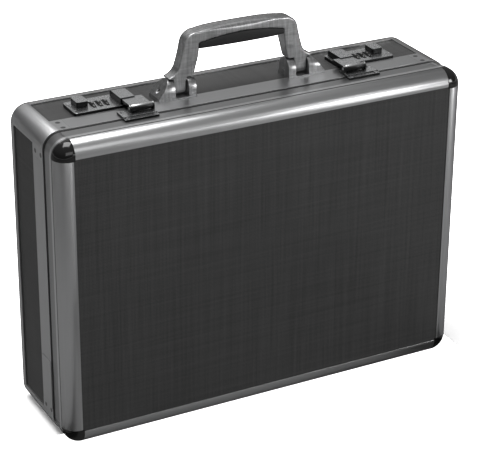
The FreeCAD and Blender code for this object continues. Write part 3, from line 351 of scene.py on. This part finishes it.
def plated(name, level, roughness, painted_side_shade):
    """Plating that is satin on the upward faces, with painted shade making the other faces dark, and fine
    handling scratches.
    """
    metal = Shader(name, metallic=1.0, roughness=roughness)
    hairs = metal.noise((9.0, 0.5, 9.0), detail=3.0, roughness=0.7)
    wiped = metal.noise((0.15, 0.15, 0.15), detail=4.0)
    facing = metal.add("ShaderNodeSeparateXYZ")
    metal.feed(facing.inputs[0], metal.coordinates.outputs["Normal"])
    # Painted shade: faces that don't point up in the object's frame are painted dark.
    upward_lit = metal.span(facing.outputs["Z"], 0.0, 1.0, 0.45, 0.85)
    shade = metal.math("MULTIPLY", metal.blend(upward_lit, painted_side_shade, level), metal.span(wiped, 0.92, 1.08))
    metal.colour(shade, PLATING_TINT)
    metal.rough(metal.math("ADD", metal.span(hairs, -0.05, 0.07), roughness))
    metal.bump(metal.noise((0.25, 0.25, 0.25), detail=2.0), 0.05, 0.25)
    return metal


WEAVE_PITCH = 1.5


def woven(name, level, roughness, u_axis, v_axis, pitch=WEAVE_PITCH, depth=0.08, sheen=0.0):
    """A fine basket weave: each thread is a ridge that runs over and under its neighbours."""
    cloth = Shader(name, roughness=roughness, sheen_weight=sheen)
    axes = cloth.axes()
    u = cloth.math("MULTIPLY", axes[u_axis], 1.0 / pitch)
    v = cloth.math("MULTIPLY", axes[v_axis], 1.0 / pitch)
    square = cloth.math("ADD", cloth.math("FLOOR", u), cloth.math("FLOOR", v))
    parity = cloth.math("PINGPONG", square, 1.0)
    along_u = cloth.math("ABSOLUTE", cloth.math("SINE", cloth.math("MULTIPLY", u, math.pi)))
    along_v = cloth.math("ABSOLUTE", cloth.math("SINE", cloth.math("MULTIPLY", v, math.pi)))
    ridge = cloth.blend(parity, along_u, along_v)
    warp = cloth.span(cloth.noise(along_axis(v_axis, 0.006, 0.35), detail=3.0), -0.28, 0.28, 0.25, 0.75)
    weft = cloth.span(cloth.noise(along_axis(u_axis, 0.006, 0.35), detail=3.0), -0.20, 0.20, 0.25, 0.75)
    cloud = cloth.noise((0.012, 0.012, 0.012), detail=3.0)
    shade = cloth.math("ADD", cloth.span(ridge, -0.45, 0.35), cloth.math("ADD", warp, weft))
    shade = cloth.math("ADD", shade, cloth.span(cloud, -0.06, 0.06, 0.3, 0.7))
    cloth.colour(cloth.math("MULTIPLY", cloth.math("ADD", shade, 1.0), level))
    cloth.rough(cloth.span(ridge, roughness + 0.10, roughness - 0.06))
    cloth.bump(ridge, depth, 0.8)
    return cloth


def moulded(name, level, roughness, grain=2.2, depth=0.05, **sockets):
    """Moulded plastic or rubber with a fine leather-like grain."""
    plastic = Shader(name, roughness=roughness, **sockets)
    pits = plastic.cells(grain)
    cloud = plastic.noise((0.08, 0.08, 0.08))
    plastic.colour(plastic.math("MULTIPLY", plastic.span(cloud, 0.8, 1.2), level))
    plastic.rough(plastic.math("ADD", plastic.span(pits, -0.06, 0.08), roughness))
    plastic.bump(pits, depth, 0.5)
    return plastic


def glossy(name, level, roughness, **sockets):
    """Black lacquered metal: nearly smooth, with a faint orange peel under the gloss."""
    lacquer = Shader(name, roughness=roughness, **sockets)
    peel = lacquer.noise((0.5, 0.5, 0.5), detail=2.0)
    wiped = lacquer.noise((0.1, 0.1, 0.1), detail=4.0)
    lacquer.colour(lacquer.span(wiped, level * 0.8, level * 1.2))
    lacquer.rough(lacquer.span(wiped, roughness - 0.03, roughness + 0.05))
    lacquer.bump(peel, 0.05, 0.3)
    return lacquer


def napped(name, level, roughness):
    """Brushed lining cloth: short fibres in soft patches."""
    cloth = Shader(name, roughness=roughness, sheen_weight=0.5, sheen_roughness=0.45)
    fibre = cloth.noise((3.5, 3.5, 3.5), detail=4.0, roughness=0.75)
    patch = cloth.noise((0.06, 0.06, 0.06), detail=4.0, roughness=0.6)
    shade = cloth.math("ADD", cloth.span(fibre, 0.72, 1.28, 0.25, 0.75),
                       cloth.span(patch, -0.15, 0.15, 0.3, 0.7))
    cloth.colour(cloth.math("MULTIPLY", shade, level), (1.0, 1.0, 1.05))
    cloth.bump(fibre, 0.25, 0.6)
    cloth.bump(patch, 0.6, 0.3)
    return cloth


# ---------------------------------------------------------------- finishes of the CAD nodes


def dress(names, shader):
    """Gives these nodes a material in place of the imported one."""
    for name in names:
        materials = NODES[name].data.materials
        materials.clear()
        materials.append(shader.material)


WELD_REACH = 0.001 * MM
HARD_EDGE = math.radians(28.0)


def join_corners(node):
    weld = node.modifiers.new("join_corners", "WELD")
    weld.merge_threshold = WELD_REACH


def soften(names, width, segments=2):
    """Rounds the hard edges of these nodes, so that they catch the light."""
    for name in names:
        node = NODES[name]
        join_corners(node)
        bevel = node.modifiers.new("soft_edges", "BEVEL")
        bevel.width = width * MM
        bevel.segments = segments
        bevel.limit_method = "ANGLE"
        bevel.angle_limit = HARD_EDGE
        bevel.harden_normals = True
        bevel.use_clamp_overlap = True


def melt(names, grain, passes):
    """Rounds a casting's edges all over, as from a worn mould."""
    for name in names:
        node = NODES[name]
        join_corners(node)
        remesh = node.modifiers.new("even_mesh", "REMESH")
        remesh.mode = "VOXEL"
        remesh.voxel_size = grain * MM
        remesh.use_smooth_shade = True
        smooth = node.modifiers.new("rounded", "SMOOTH")
        smooth.factor = 0.5
        smooth.iterations = passes


def pair(stem):
    return [f"{stem}_{side}" for side in SIDES]


RAIL_FINISH = (0.60, 0.34)
CORNER_FINISH = (0.62, 0.36)
LAMINATE_ROUGHNESS = 0.44


def finish_frames():
    x_rails = ["base_edge_top", "base_edge_bottom", "rear_frame_top", "rear_frame_bottom"]
    z_rails = pair("base_edge") + pair("rear_frame") + ["stay_plates"]
    lid_x_rails = ["lid_frame_top", "lid_frame_bottom"]
    dress(x_rails, brushed("aluminium_brushed_x", 0, *RAIL_FINISH))
    dress(z_rails, brushed("aluminium_brushed_z", 2, *RAIL_FINISH))
    # The lid's rails and corners are copies of the aluminium with painted shade in their grooves and a
    # painted highlight on the ridge.
    dress(lid_x_rails, brushed("lid_aluminium_painted_shade_x", 0, *RAIL_FINISH, rail_shade_painted=True))
    dress(pair("lid_frame"), brushed("lid_aluminium_painted_shade_z", 2, *RAIL_FINISH, rail_shade_painted=True))
    dress(["base_corners"], cast_metal("aluminium_cast", *CORNER_FINISH))
    dress(["lid_strip_corners"], cast_metal("lid_aluminium_painted_shade_cast", *CORNER_FINISH, rail_shade_painted=True))
    soften(x_rails + z_rails + lid_x_rails + pair("lid_frame"), 0.25)
    soften(["base_corners", "lid_strip_corners"], 0.25)


def finish_panels():
    # One laminate: the top and bottom walls are painted lighter (0.070), as lit from overhead, and the side
    # walls painted darker (0.045), as in shade; the faces hold its plain 0.050.
    dress(["lid_panel", "base_panel"], woven("laminate_face", 0.050, LAMINATE_ROUGHNESS, 0, 2))
    dress(["wall_top", "wall_bottom"], woven("laminate_across_painted_light", 0.070, LAMINATE_ROUGHNESS, 0, 1))
    dress(pair("wall"), woven("laminate_upright_painted_shade", 0.045, LAMINATE_ROUGHNESS, 2, 1))


def finish_hardware():
    # The lock parts' faces that don't point up get painted shade, at 0.025.
    chrome = plated("lock_plating", 0.75, 0.26, 0.025)
    lock_nodes = pair("lock_plate") + pair("hasp") + pair("hasp_carrier") + pair("slider")
    dress(lock_nodes, chrome)
    soften(lock_nodes, 0.3)
    dress(["base_rivets"], cast_metal("rivet_burnished", 0.20, 0.35))
    fixings = ["carrier_rivets", "lock_screws", "handle_screws", "hasp_pins", "handle_pins", "dial_axles",
               "lock_cases", "handle_backing_plates", "hinge_pin", "stay_studs", "stay_pivots"]
    dress(fixings, cast_metal("steel_plated", 0.55, 0.28))
    leaves = ["base_hinge_leaf", "lid_hinge_leaf"] + pair("stay_arm")
    dress(leaves, cast_metal("steel_rolled", 0.5, 0.32))
    soften(leaves, 0.15)
    dress(["lid_ball_corners"], glossy("ball_lacquer", 0.006, 0.12, coat_weight=0.35, coat_roughness=0.06))
    dials = pair("dial_1") + pair("dial_2") + pair("dial_3")
    dress(dials, moulded("dial_plastic", 0.012, 0.35, 1.5, 0.02))


def finish_handle():
    dress(["handle_shell"], drawn_metal("handle_satin", 0.50, 0.33))
    melt(["handle_shell"], 0.8, 8)
    dress(pair("handle_bracket"), drawn_metal("bracket_satin", 0.46, 0.33))
    soften(pair("handle_bracket"), 0.4)
    dress(["handle_grip"], moulded("grip_rubber", 0.012, 0.55, 1.6, 0.1))
    soften(["handle_grip"], 1.0, 3)


# ---------------------------------------------------------------- pieces that the frame has no shape for

RUBBER = moulded("seal_rubber", 0.010, 0.55, 2.0, 0.03)
LINING = napped("lining_nap", 0.050, 0.85)
POCKET = woven("pocket_cloth", 0.075, 0.75, 0, 2, 0.8, 0.15, 0.3)
BINDING = woven("binding_tape", 0.035, 0.65, 0, 2, 0.6, 0.12, 0.2)
THREAD = moulded("stitch_thread", 0.22, 0.60, 4.0, 0.05)
PAINT = moulded("figure_paint", 0.75, 0.45, 3.0, 0.005)

CASE_LOW, CASE_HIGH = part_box("base_corners")
CORNER_RADIUS = 18 * MM
CORNER_STEPS = 6
SEED = Vector((3.1, 7.7, 1.3))


def new_piece(name, vertices, faces, shader, body):
    mesh = bpy.data.meshes.new(name)
    mesh.from_pydata(vertices, [], faces)
    mesh.shade_smooth()
    mesh.materials.append(shader.material)
    piece = bpy.data.objects.new(name, mesh)
    bpy.context.scene.collection.objects.link(piece)
    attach(piece, body)
    return piece


def thicken(piece, thickness, offset=0.0):
    """Gives cloth its thickness, about its surface or, with an offset of -1, inside it."""
    solid = piece.modifiers.new("thickness", "SOLIDIFY")
    solid.thickness = thickness
    solid.offset = offset


def grid_faces(columns, rows, closed=False, keep=None):
    """Quads between rows of points stored column by column; closed joins the last column to the first."""
    faces = []
    for column in range(columns if closed else columns - 1):
        following = (column + 1) % columns
        for row in range(rows - 1):
            if keep is None or keep(column, row):
                faces.append((column * rows + row, following * rows + row,
                              following * rows + row + 1, column * rows + row + 1))
    return faces


def shifted(faces, base):
    return [tuple(base + index for index in face) for face in faces]


def spaced(low, high, step, stops=()):
    """Values from low to high, no more than a step apart, with the stops among them."""
    marks = sorted({low, high} | {stop for stop in stops if low < stop < high})
    values = []
    for start, end in zip(marks, marks[1:]):
        count = max(1, math.ceil((end - start) / step))
        values += [start + (end - start) * index / count for index in range(count)]
    return values + [high]


def rounded_loop(inset, step=6 * MM, stops=()):
    """(point, outward direction) round the case at an inset from its sides, from the lower left corner."""
    left, right = CASE_LOW.x + inset, CASE_HIGH.x - inset
    low, high = CASE_LOW.z + inset, CASE_HIGH.z - inset
    radius = CORNER_RADIUS - inset
    runs = [
        (spaced(left + radius, right - radius, step), (0, -1)),
        (spaced(low + radius, high - radius, step), (1, 0)),
        (spaced(left + radius, right - radius, step, stops)[::-1], (0, 1)),
        (spaced(low + radius, high - radius, step)[::-1], (-1, 0)),
    ]
    centres = [
        (right - radius, low + radius),
        (right - radius, high - radius),
        (left + radius, high - radius),
        (left + radius, low + radius),
    ]
    loop = []
    for (values, (out_x, out_z)), (centre_x, centre_z) in zip(runs, centres):
        for value in values:
            x = value if out_z else (right if out_x > 0 else left)
            z = value if out_x else (high if out_z > 0 else low)
            loop.append((Vector((x, 0, z)), Vector((out_x, 0, out_z))))
        start = math.atan2(out_z, out_x)
        for part in range(1, CORNER_STEPS):
            angle = start + math.pi / 2 * part / CORNER_STEPS
            out = Vector((math.cos(angle), 0, math.sin(angle)))
            loop.append((Vector((centre_x, 0, centre_z)) + out * radius, out))
    return loop


def sweep(loop, section, closed):
    """Carries a closed section of (along Y, outward) round a loop, and returns its vertices and faces."""
    vertices = [point + Vector((0, along, 0)) + out * away for point, out in loop for along, away in section]
    rows = len(section)
    faces = []
    for column in range(len(loop) if closed else len(loop) - 1):
        following = (column + 1) % len(loop)
        for row in range(rows):
            beside = (row + 1) % rows
            faces.append((column * rows + row, column * rows + beside,
                          following * rows + beside, following * rows + row))
    if not closed:
        last = (len(loop) - 1) * rows
        faces.append(tuple(range(rows))[::-1])
        faces.append(tuple(last + row for row in range(rows)))
    return vertices, faces


def oval(centre_y, half_y, half_out, sides=10):
    turns = [2 * math.pi * index / sides for index in range(sides)]
    return [(centre_y + half_y * math.cos(turn), half_out * math.sin(turn)) for turn in turns]


def smooth_step(value):
    value = min(max(value, 0.0), 1.0)
    return value * value * (3 - 2 * value)


# ---- the seal in the seam

SEAL_INSET = 1.0 * MM
SEAL_Y = -24.9 * MM
SEAL_HALF_WIDTH = 1.0 * MM
SEAL_HALF_RISE = 0.45 * MM
SEAL_ABOVE = 12 * MM


def add_seal():
    """Black rubber bead in the seam, up the sides and over the top, clear of the hinge."""
    clear_of_hinge = [item for item in rounded_loop(SEAL_INSET) if item[0].z > CASE_LOW.z + SEAL_ABOVE]
    vertices, faces = sweep(clear_of_hinge, oval(SEAL_Y, SEAL_HALF_WIDTH, SEAL_HALF_RISE), False)
    new_piece("seam_seal", vertices, faces, RUBBER, "lid")


# ---- stitches

STITCH_STEP = 4.5 * MM
STITCH_LENGTH = 3.0 * MM
STITCH_WIDTH = 0.55 * MM
STITCH_HEIGHT = 0.35 * MM
STITCH_LEVELS = ((-0.2, 1.0), (0.8, 0.7))
STITCH_ENDS = ((-1, -1), (1, -1), (1, 1), (-1, 1))
STITCH_FACES = ((0, 3, 2, 1), (4, 5, 6, 7), (0, 1, 5, 4), (1, 2, 6, 5), (2, 3, 7, 6), (3, 0, 4, 7))


def one_stitch(place, along, out):
    """Corners of a raised thread: its foot, a little sunk in the cloth, and its narrower top."""
    across = along.cross(out).normalized()
    return [
        place + along * (end * STITCH_LENGTH / 2 * share) + across * (side * STITCH_WIDTH / 2 * share)
        + out * (lift * STITCH_HEIGHT)
        for lift, share in STITCH_LEVELS for end, side in STITCH_ENDS
    ]


def add_stitches(name, points, body):
    """A row of threads along (place, outward direction) points."""
    vertices, faces = [], []
    travelled = 0.0
    following = 0.0
    for (start, out), (end, _) in zip(points, points[1:]):
        run = (end - start).length
        while following <= travelled + run and run > 0:
            faces += shifted(STITCH_FACES, len(vertices))
            place = start.lerp(end, (following - travelled) / run)
            vertices += one_stitch(place, (end - start).normalized(), out)
            following += STITCH_STEP
        travelled += run
    return new_piece(name, vertices, faces, THREAD, body)


# ---- the linings

LOCK_CASE_IN = 119 * MM
NOTCH_MARGIN = 2 * MM
LINING_STEP = 6 * MM
LINING_GAP = 0.1 * MM
LINING_STAND_OFF = 0.2 * MM
LINING_CLOTH = 0.9 * MM
TRAY_THICK = 1.2 * MM
RIPPLE = 0.5 * MM
RIPPLES_PER_METRE = 45

PAD_EDGE = 1.2 * MM
PAD_STEP = 5 * MM
PAD_CLOTH = 0.8 * MM
PAD_RIM = 14 * MM
PAD_RIM_STEEPNESS = 2.2
WRINKLE = 0.25 * MM
WRINKLES_PER_METRE = 30
CHANNEL_PITCH = 72 * MM
CHANNEL_WIDTH = 5 * MM
CHANNEL_DEPTH = 0.75
BASE_PAD_SUNK = 1.0 * MM
BASE_PAD_CROWN = 2.6 * MM
LID_PAD_SUNK = 0.6 * MM
LID_PAD_CROWN = 0.3 * MM

SEAM_SUNK = 1.9 * MM
SEAM_MARGIN = 8 * MM
SEAM_STEP = 20 * MM
PIPING_INSET = 1.0 * MM
PIPING_DROP = 0.9 * MM
PIPING_HALF_WIDTH = 1.3 * MM
PIPING_HALF_RISE = 1.0 * MM
HEM_ROW_DROP = 5 * MM
HEM_ROW_INSET = 0.7 * MM


def wall_notches():
    """(low X, high X, depth in Y) of the lining's cut-outs under the locks and the handle."""
    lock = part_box("lock_cases")[1]
    bracket_low, bracket_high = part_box("handle_bracket_right")
    spans = [
        (LOCK_CASE_IN - NOTCH_MARGIN, lock.x + NOTCH_MARGIN, lock.y + NOTCH_MARGIN),
        (bracket_low.x - NOTCH_MARGIN, bracket_high.x + NOTCH_MARGIN, bracket_high.y + NOTCH_MARGIN),
    ]
    return spans + [(-high, -low, depth) for low, high, depth in spans]


def lining_walls(name, node, body, hem, floor, notches):
    """Cloth stretched round the four walls with the notches left out, and its length, depth and area."""
    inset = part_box(node)[0].x - CASE_LOW.x + LINING_GAP
    loop = rounded_loop(inset, stops=[edge for low, high, _ in notches for edge in (low, high)])
    first, last = sorted((hem, floor))
    rows = spaced(first, last, LINING_STEP, [depth for _, _, depth in notches])

    def outside_notches(column, row):
        (start, out), (end, _) = loop[column], loop[(column + 1) % len(loop)]
        x = (start.x + end.x) / 2
        y = (rows[row] + rows[row + 1]) / 2
        on_top = out.z > 0.9 and start.z > CASE_HIGH.z - inset - 1 * MM
        return not (on_top and any(low < x < high and y < depth for low, high, depth in notches))

    vertices = []
    for point, out in loop:
        for y in rows:
            place = point + Vector((0, y, 0))
            slack = RIPPLE * math.sin(math.pi * (y - first) / (last - first))
            ripple = noise.noise(place * RIPPLES_PER_METRE + SEED) * slack
            vertices.append(place - out * (LINING_STAND_OFF + abs(ripple)))
    faces = grid_faces(len(loop), len(rows), True, outside_notches)
    walls = new_piece(name, vertices, faces, LINING, body)
    thicken(walls, LINING_CLOTH, -1.0)
    around = sum((loop[index][0] - loop[index - 1][0]).length for index in range(len(loop)))
    cut_out = sum((high - low) * (depth - first) for low, high, depth in notches)
    return walls, around, last - first, around * (last - first) - cut_out


def rounded_in(x, z, half_x, half_z, radius):
    """Moves a point of a rectangle centred on the origin inside its rounded corners."""
    side_x = max(abs(x) - (half_x - radius), 0.0)
    side_z = max(abs(z) - (half_z - radius), 0.0)
    if not (side_x and side_z):
        return x, z
    pull = min(1.0, radius / math.hypot(side_x, side_z))
    return (math.copysign(half_x - radius + side_x * pull, x),
            math.copysign(half_z - radius + side_z * pull, z))


def add_floor_pad(name, node, body, plane, crown, channels):
    """Thin pad glued to the panel: crowned, pulled in at its edge seam and at its sewn channels."""
    low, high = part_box(node)
    bottom, top = low.z + PAD_EDGE, high.z - PAD_EDGE
    half_x = (high.x - low.x) / 2 - PAD_EDGE
    half_z = (top - bottom) / 2
    middle = (bottom + top) / 2
    radius = CORNER_RADIUS - (low.x - CASE_LOW.x) - PAD_EDGE
    across = spaced(-half_x, half_x, PAD_STEP)
    up = spaced(bottom, top, PAD_STEP)
    vertices = []
    for x in across:
        for z in up:
            rim = min(half_x - abs(x), half_z - abs(z - middle)) / PAD_RIM
            swell = 1 - math.exp(-max(rim, 0.0) * PAD_RIM_STEEPNESS)
            for seam in channels:
                swell *= 1 - CHANNEL_DEPTH * math.exp(-((x - seam) / CHANNEL_WIDTH) ** 2)
            wrinkle = noise.noise(Vector((x, 0, z)) * WRINKLES_PER_METRE + SEED)
            wrinkle *= math.copysign(WRINKLE, crown)
            place_x, place_z = rounded_in(x, z - middle, half_x, half_z, radius)
            vertices.append(Vector((place_x, plane + (crown + wrinkle) * swell, place_z + middle)))
    pad = new_piece(name, vertices, grid_faces(len(across), len(up)), LINING, body)
    thicken(pad, PAD_CLOTH)
    return pad


def add_base_lining():
    low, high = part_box("base_lining")
    walls, around, depth, area = lining_walls(
        "base_lining_walls", "base_lining", "base", low.y, high.y - TRAY_THICK, wall_notches())
    channels = [index * CHANNEL_PITCH for index in range(-2, 3)]
    floor = add_floor_pad(
        "base_lining_pad", "base_lining", "base", high.y - BASE_PAD_SUNK, -BASE_PAD_CROWN, channels)
    for index, seam in enumerate(channels):
        line = [(Vector((seam, high.y - SEAM_SUNK, z)), Vector((0, -1, 0)))
                for z in spaced(low.z + SEAM_MARGIN, high.z - SEAM_MARGIN, SEAM_STEP)]
        add_stitches(f"base_pad_stitches_{index}", line, "base")
    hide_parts("base_lining")
    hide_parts("base_lining")


def add_lid_lining():
    low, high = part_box("lid_lining")
    walls, around, depth, area = lining_walls(
        "lid_lining_walls", "lid_lining", "lid", high.y, low.y + TRAY_THICK, [])
    floor = add_floor_pad("lid_lining_pad", "lid_lining", "lid", low.y + LID_PAD_SUNK, LID_PAD_CROWN, [])
    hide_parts("lid_lining")
    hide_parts("lid_lining")

    hem = rounded_loop(low.x - CASE_LOW.x + PIPING_INSET)
    vertices, faces = sweep(hem, oval(high.y - PIPING_DROP, PIPING_HALF_WIDTH, PIPING_HALF_RISE), True)
    new_piece("lid_lining_piping", vertices, faces, BINDING, "lid")
    row = [(point - out * HEM_ROW_INSET + Vector((0, high.y - HEM_ROW_DROP, 0)), -out) for point, out in hem]
    add_stitches("lid_lining_stitches", row + row[:1], "lid")


# ---- the document pocket

POCKET_LOW, POCKET_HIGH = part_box("lid_organizer")
POCKET_REAR = POCKET_LOW.y + 0.2 * MM
POCKET_FRONT = POCKET_HIGH.y - 1.2 * MM
POCKET_HALF = POCKET_HIGH.x - 1.5 * MM
POCKET_FOOT = POCKET_LOW.z + 1 * MM
POCKET_KEEL = POCKET_LOW.z + 0.6 * MM
POCKET_CLOTH = 1.0 * MM
GUSSET_CLOTH = 0.7 * MM
PATCH_CLOTH = 0.9 * MM

BULGE = 2.6 * MM
BULGE_TURN = 0.8
DRIFT = 0.8 * MM
DRIFTS_PER_METRE = 22
GATHER_FROM = 0.72
GATHER_DEPTH = 0.9 * MM
GATHER_LENGTH = 2.3 * MM
GATHER_UNEVEN = 2.2
GATHER_UNEVEN_LENGTH = 19 * MM
TOP_SAG = 5 * MM

# (share of the way from rear to front, how far the gusset folds inwards)
PLEATS = ((0.0, 0.0), (0.25, 6.0 * MM), (0.5, 0.0), (0.75, 6.0 * MM), (1.0, 0.0))
PLEAT_OPENING = 60 * MM
PLEAT_AT_FOOT = 0.6
GUSSET_TOP = POCKET_HIGH.z - 6 * MM

BINDING_HALF_THICK = 1.4 * MM
BINDING_HALF_HEIGHT = 4.0 * MM
BINDING_DROP = 2.4 * MM
BINDING_SIDES = 14
BINDING_STITCH = Vector((0, 1.5 * MM, -4.4 * MM))

# Name, left, right, bottom and top of each pocket sewn on the front.
PATCHES = (
    ("memo_pocket", -150 * MM, -22 * MM, 52 * MM, 150 * MM),
    ("card_pocket_low", 20 * MM, 92 * MM, 52 * MM, 92 * MM),
    ("card_pocket_high", 20 * MM, 92 * MM, 104 * MM, 144 * MM),
)
PATCH_STEP = 5 * MM
PATCH_LIFT = 0.8 * MM
PATCH_SWELL = 1.6 * MM
PATCH_RIM = 7 * MM
PATCH_STITCH = Vector((0, PATCH_LIFT + 1.1 * MM, 3 * MM))

LOOP_LEFT = 112 * MM
LOOP_PITCH = 18 * MM
LOOP_BOTTOM = 96 * MM
LOOP_WIDTH = 14 * MM
LOOP_HEIGHT = 22 * MM
LOOP_RISE = 5.5 * MM
LOOP_FOOT = 0.8 * MM
LOOP_CLOTH = 1.1 * MM
LOOP_STEPS = 14
LOOP_COUNT = 3


def on_pocket(x, z):
    """The place on the pocket's bulged front for a flat X and Z, gathered towards its top edge."""
    share = (z - POCKET_LOW.z) / (POCKET_HIGH.z - POCKET_LOW.z)
    gather = smooth_step((share - GATHER_FROM) / (1 - GATHER_FROM))
    bow = 1 - (x / POCKET_HALF) ** 2
    ripple = math.sin(x / GATHER_LENGTH + GATHER_UNEVEN * math.sin(x / GATHER_UNEVEN_LENGTH))
    drift = noise.noise(Vector((x, 0, z)) * DRIFTS_PER_METRE + SEED)
    bulge = bow * math.sin(math.pi * share * BULGE_TURN) * BULGE
    y = POCKET_FRONT + bulge + gather * ripple * GATHER_DEPTH + drift * bow * DRIFT
    return Vector((x, y, z - gather * bow * TOP_SAG))


def add_pocket_front(across):
    up = spaced(POCKET_FOOT, POCKET_HIGH.z, 5 * MM)
    vertices = [on_pocket(x, z) for x in across for z in up]
    faces = grid_faces(len(across), len(up))
    cloth = new_piece("pocket_front", vertices, faces, POCKET, "lid")
    thicken(cloth, POCKET_CLOTH)
    return cloth


def add_gussets(across):
    """Pleated cloth at both ends of the pocket and a plain strip under it."""
    vertices, faces = [], []
    heights = spaced(POCKET_FOOT, GUSSET_TOP, 8 * MM)
    for side in (-1, 1):
        faces += shifted(grid_faces(len(PLEATS), len(heights)), len(vertices))
        for share, fold in PLEATS:
            y = POCKET_REAR + (POCKET_FRONT - POCKET_REAR) * share
            for z in heights:
                opening = smooth_step((z - POCKET_LOW.z) / PLEAT_OPENING)
                depth = fold * (PLEAT_AT_FOOT + (1 - PLEAT_AT_FOOT) * opening)
                vertices.append(Vector((side * (POCKET_HALF - depth), y, z)))
    strip = (
        (POCKET_REAR, POCKET_FOOT),
        ((POCKET_REAR + POCKET_FRONT) / 2, POCKET_KEEL),
        (POCKET_FRONT, POCKET_FOOT),
    )
    faces += shifted(grid_faces(len(across), len(strip)), len(vertices))
    vertices += [Vector((x, y, z)) for x in across for y, z in strip]
    gussets = new_piece("pocket_gussets", vertices, faces, POCKET, "lid")
    thicken(gussets, GUSSET_CLOTH)
    return gussets


def add_binding(name, line):
    """Tape folded over a top edge that follows a line of points."""
    section = oval(0.0, BINDING_HALF_THICK, BINDING_HALF_HEIGHT, BINDING_SIDES)
    vertices = [point + Vector((0, along, away - BINDING_DROP)) for point in line for along, away in section]
    rows = len(section)
    faces = []
    for column in range(len(line) - 1):
        for row in range(rows):
            beside = (row + 1) % rows
            faces.append((column * rows + row, (column + 1) * rows + row,
                          (column + 1) * rows + beside, column * rows + beside))
    faces.append(tuple(range(rows)))
    faces.append(tuple((len(line) - 1) * rows + row for row in range(rows))[::-1])
    return new_piece(name, vertices, faces, BINDING, "lid")


def add_patch(name, left, right, bottom, top):
    """A small pocket sewn on the front at its sides and bottom, with a bound top edge."""
    columns = spaced(left, right, PATCH_STEP)
    rows = spaced(bottom, top, PATCH_STEP)
    points = []
    for x in columns:
        for z in rows:
            rim = min(x - left, right - x, z - bottom) / PATCH_RIM
            points.append(on_pocket(x, z) + Vector((0, PATCH_LIFT + PATCH_SWELL * smooth_step(rim), 0)))
    patch = new_piece(name, points, grid_faces(len(columns), len(rows)), POCKET, "lid")
    thicken(patch, PATCH_CLOTH)
    edge = add_binding(name + "_binding", points[len(rows) - 1::len(rows)])
    line = [(on_pocket(x, bottom) + PATCH_STITCH, Vector((0, 1, 0))) for x in columns]
    return [patch, edge, add_stitches(name + "_stitches", line, "lid")]


def add_pen_loop(name, left):
    """Elastic loop sewn at both sides, standing off the pocket's front."""
    rows = spaced(LOOP_BOTTOM, LOOP_BOTTOM + LOOP_HEIGHT, 2 * MM)
    points = []
    for step in range(LOOP_STEPS + 1):
        angle = math.pi * step / LOOP_STEPS
        x = left + LOOP_WIDTH / 2 - math.cos(angle) * LOOP_WIDTH / 2
        rise = Vector((0, LOOP_FOOT + LOOP_RISE * math.sin(angle), 0))
        points += [on_pocket(x, z) + rise for z in rows]
    loop = new_piece(name, points, grid_faces(LOOP_STEPS + 1, len(rows)), BINDING, "lid")
    thicken(loop, LOOP_CLOTH)
    return loop


def add_pocket():
    """Document pocket: a gathered front, pleated gussets, a bound edge, small pockets and pen loops."""
    across = spaced(-POCKET_HALF, POCKET_HALF, 3 * MM)
    cloth = add_pocket_front(across)
    edge = [on_pocket(x, POCKET_HIGH.z) for x in across]
    parts = [add_gussets(across), add_binding("pocket_binding", edge)]
    seam = [(point + BINDING_STITCH, Vector((0, 1, 0))) for point in edge]
    parts.append(add_stitches("pocket_stitches", seam, "lid"))
    for patch in PATCHES:
        parts += add_patch(*patch)
    for index in range(LOOP_COUNT):
        parts.append(add_pen_loop(f"pen_loop_{index}", LOOP_LEFT + index * LOOP_PITCH))
    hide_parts("lid_organizer")


# ---- the figures on the number wheels

FIGURE_HEIGHT = 2.7 * MM
FIGURE_RELIEF = 0.06 * MM
FIGURES = 10


def figure_mesh(figure):
    """Mesh of one raised figure, centred on the origin and facing +Z."""
    curve = bpy.data.curves.new("figure", "FONT")
    curve.body = str(figure)
    curve.size = FIGURE_HEIGHT
    curve.align_x = "CENTER"
    curve.align_y = "CENTER"
    curve.extrude = FIGURE_RELIEF
    curve.resolution_u = 2
    text = bpy.data.objects.new("figure", curve)
    mesh = bpy.data.meshes.new_from_object(text)
    bpy.data.objects.remove(text)
    bpy.data.curves.remove(curve)
    return mesh


def add_figures(node):
    """The ten figures round one number wheel."""
    low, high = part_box(node)
    centre = (low + high) / 2
    radius = (high.z - low.z) / 2
    vertices, faces = [], []
    for figure in range(FIGURES):
        mesh = figure_mesh(figure)
        turn = Matrix.Rotation(2 * math.pi * figure / FIGURES, 4, "X")
        faces += shifted([polygon.vertices for polygon in mesh.polygons], len(vertices))
        vertices += [centre + turn @ (vertex.co + Vector((0, 0, radius))) for vertex in mesh.vertices]
        bpy.data.meshes.remove(mesh)
    figures = new_piece(node.replace("dial", "figures"), vertices, faces, PAINT, node)
    figures.data.shade_flat()


# ---------------------------------------------------------------- the scene

add_camera()
add_world()
for light in LIGHTS:
    area_light(*light)
add_floor()
finish_frames()
finish_panels()
finish_hardware()
finish_handle()
add_seal()
add_base_lining()
add_lid_lining()
add_pocket()
for side in SIDES:
    for number in (1, 2, 3):
        add_figures(f"dial_{number}_{side}")

bpy.context.scene.view_settings.view_transform = "Standard"
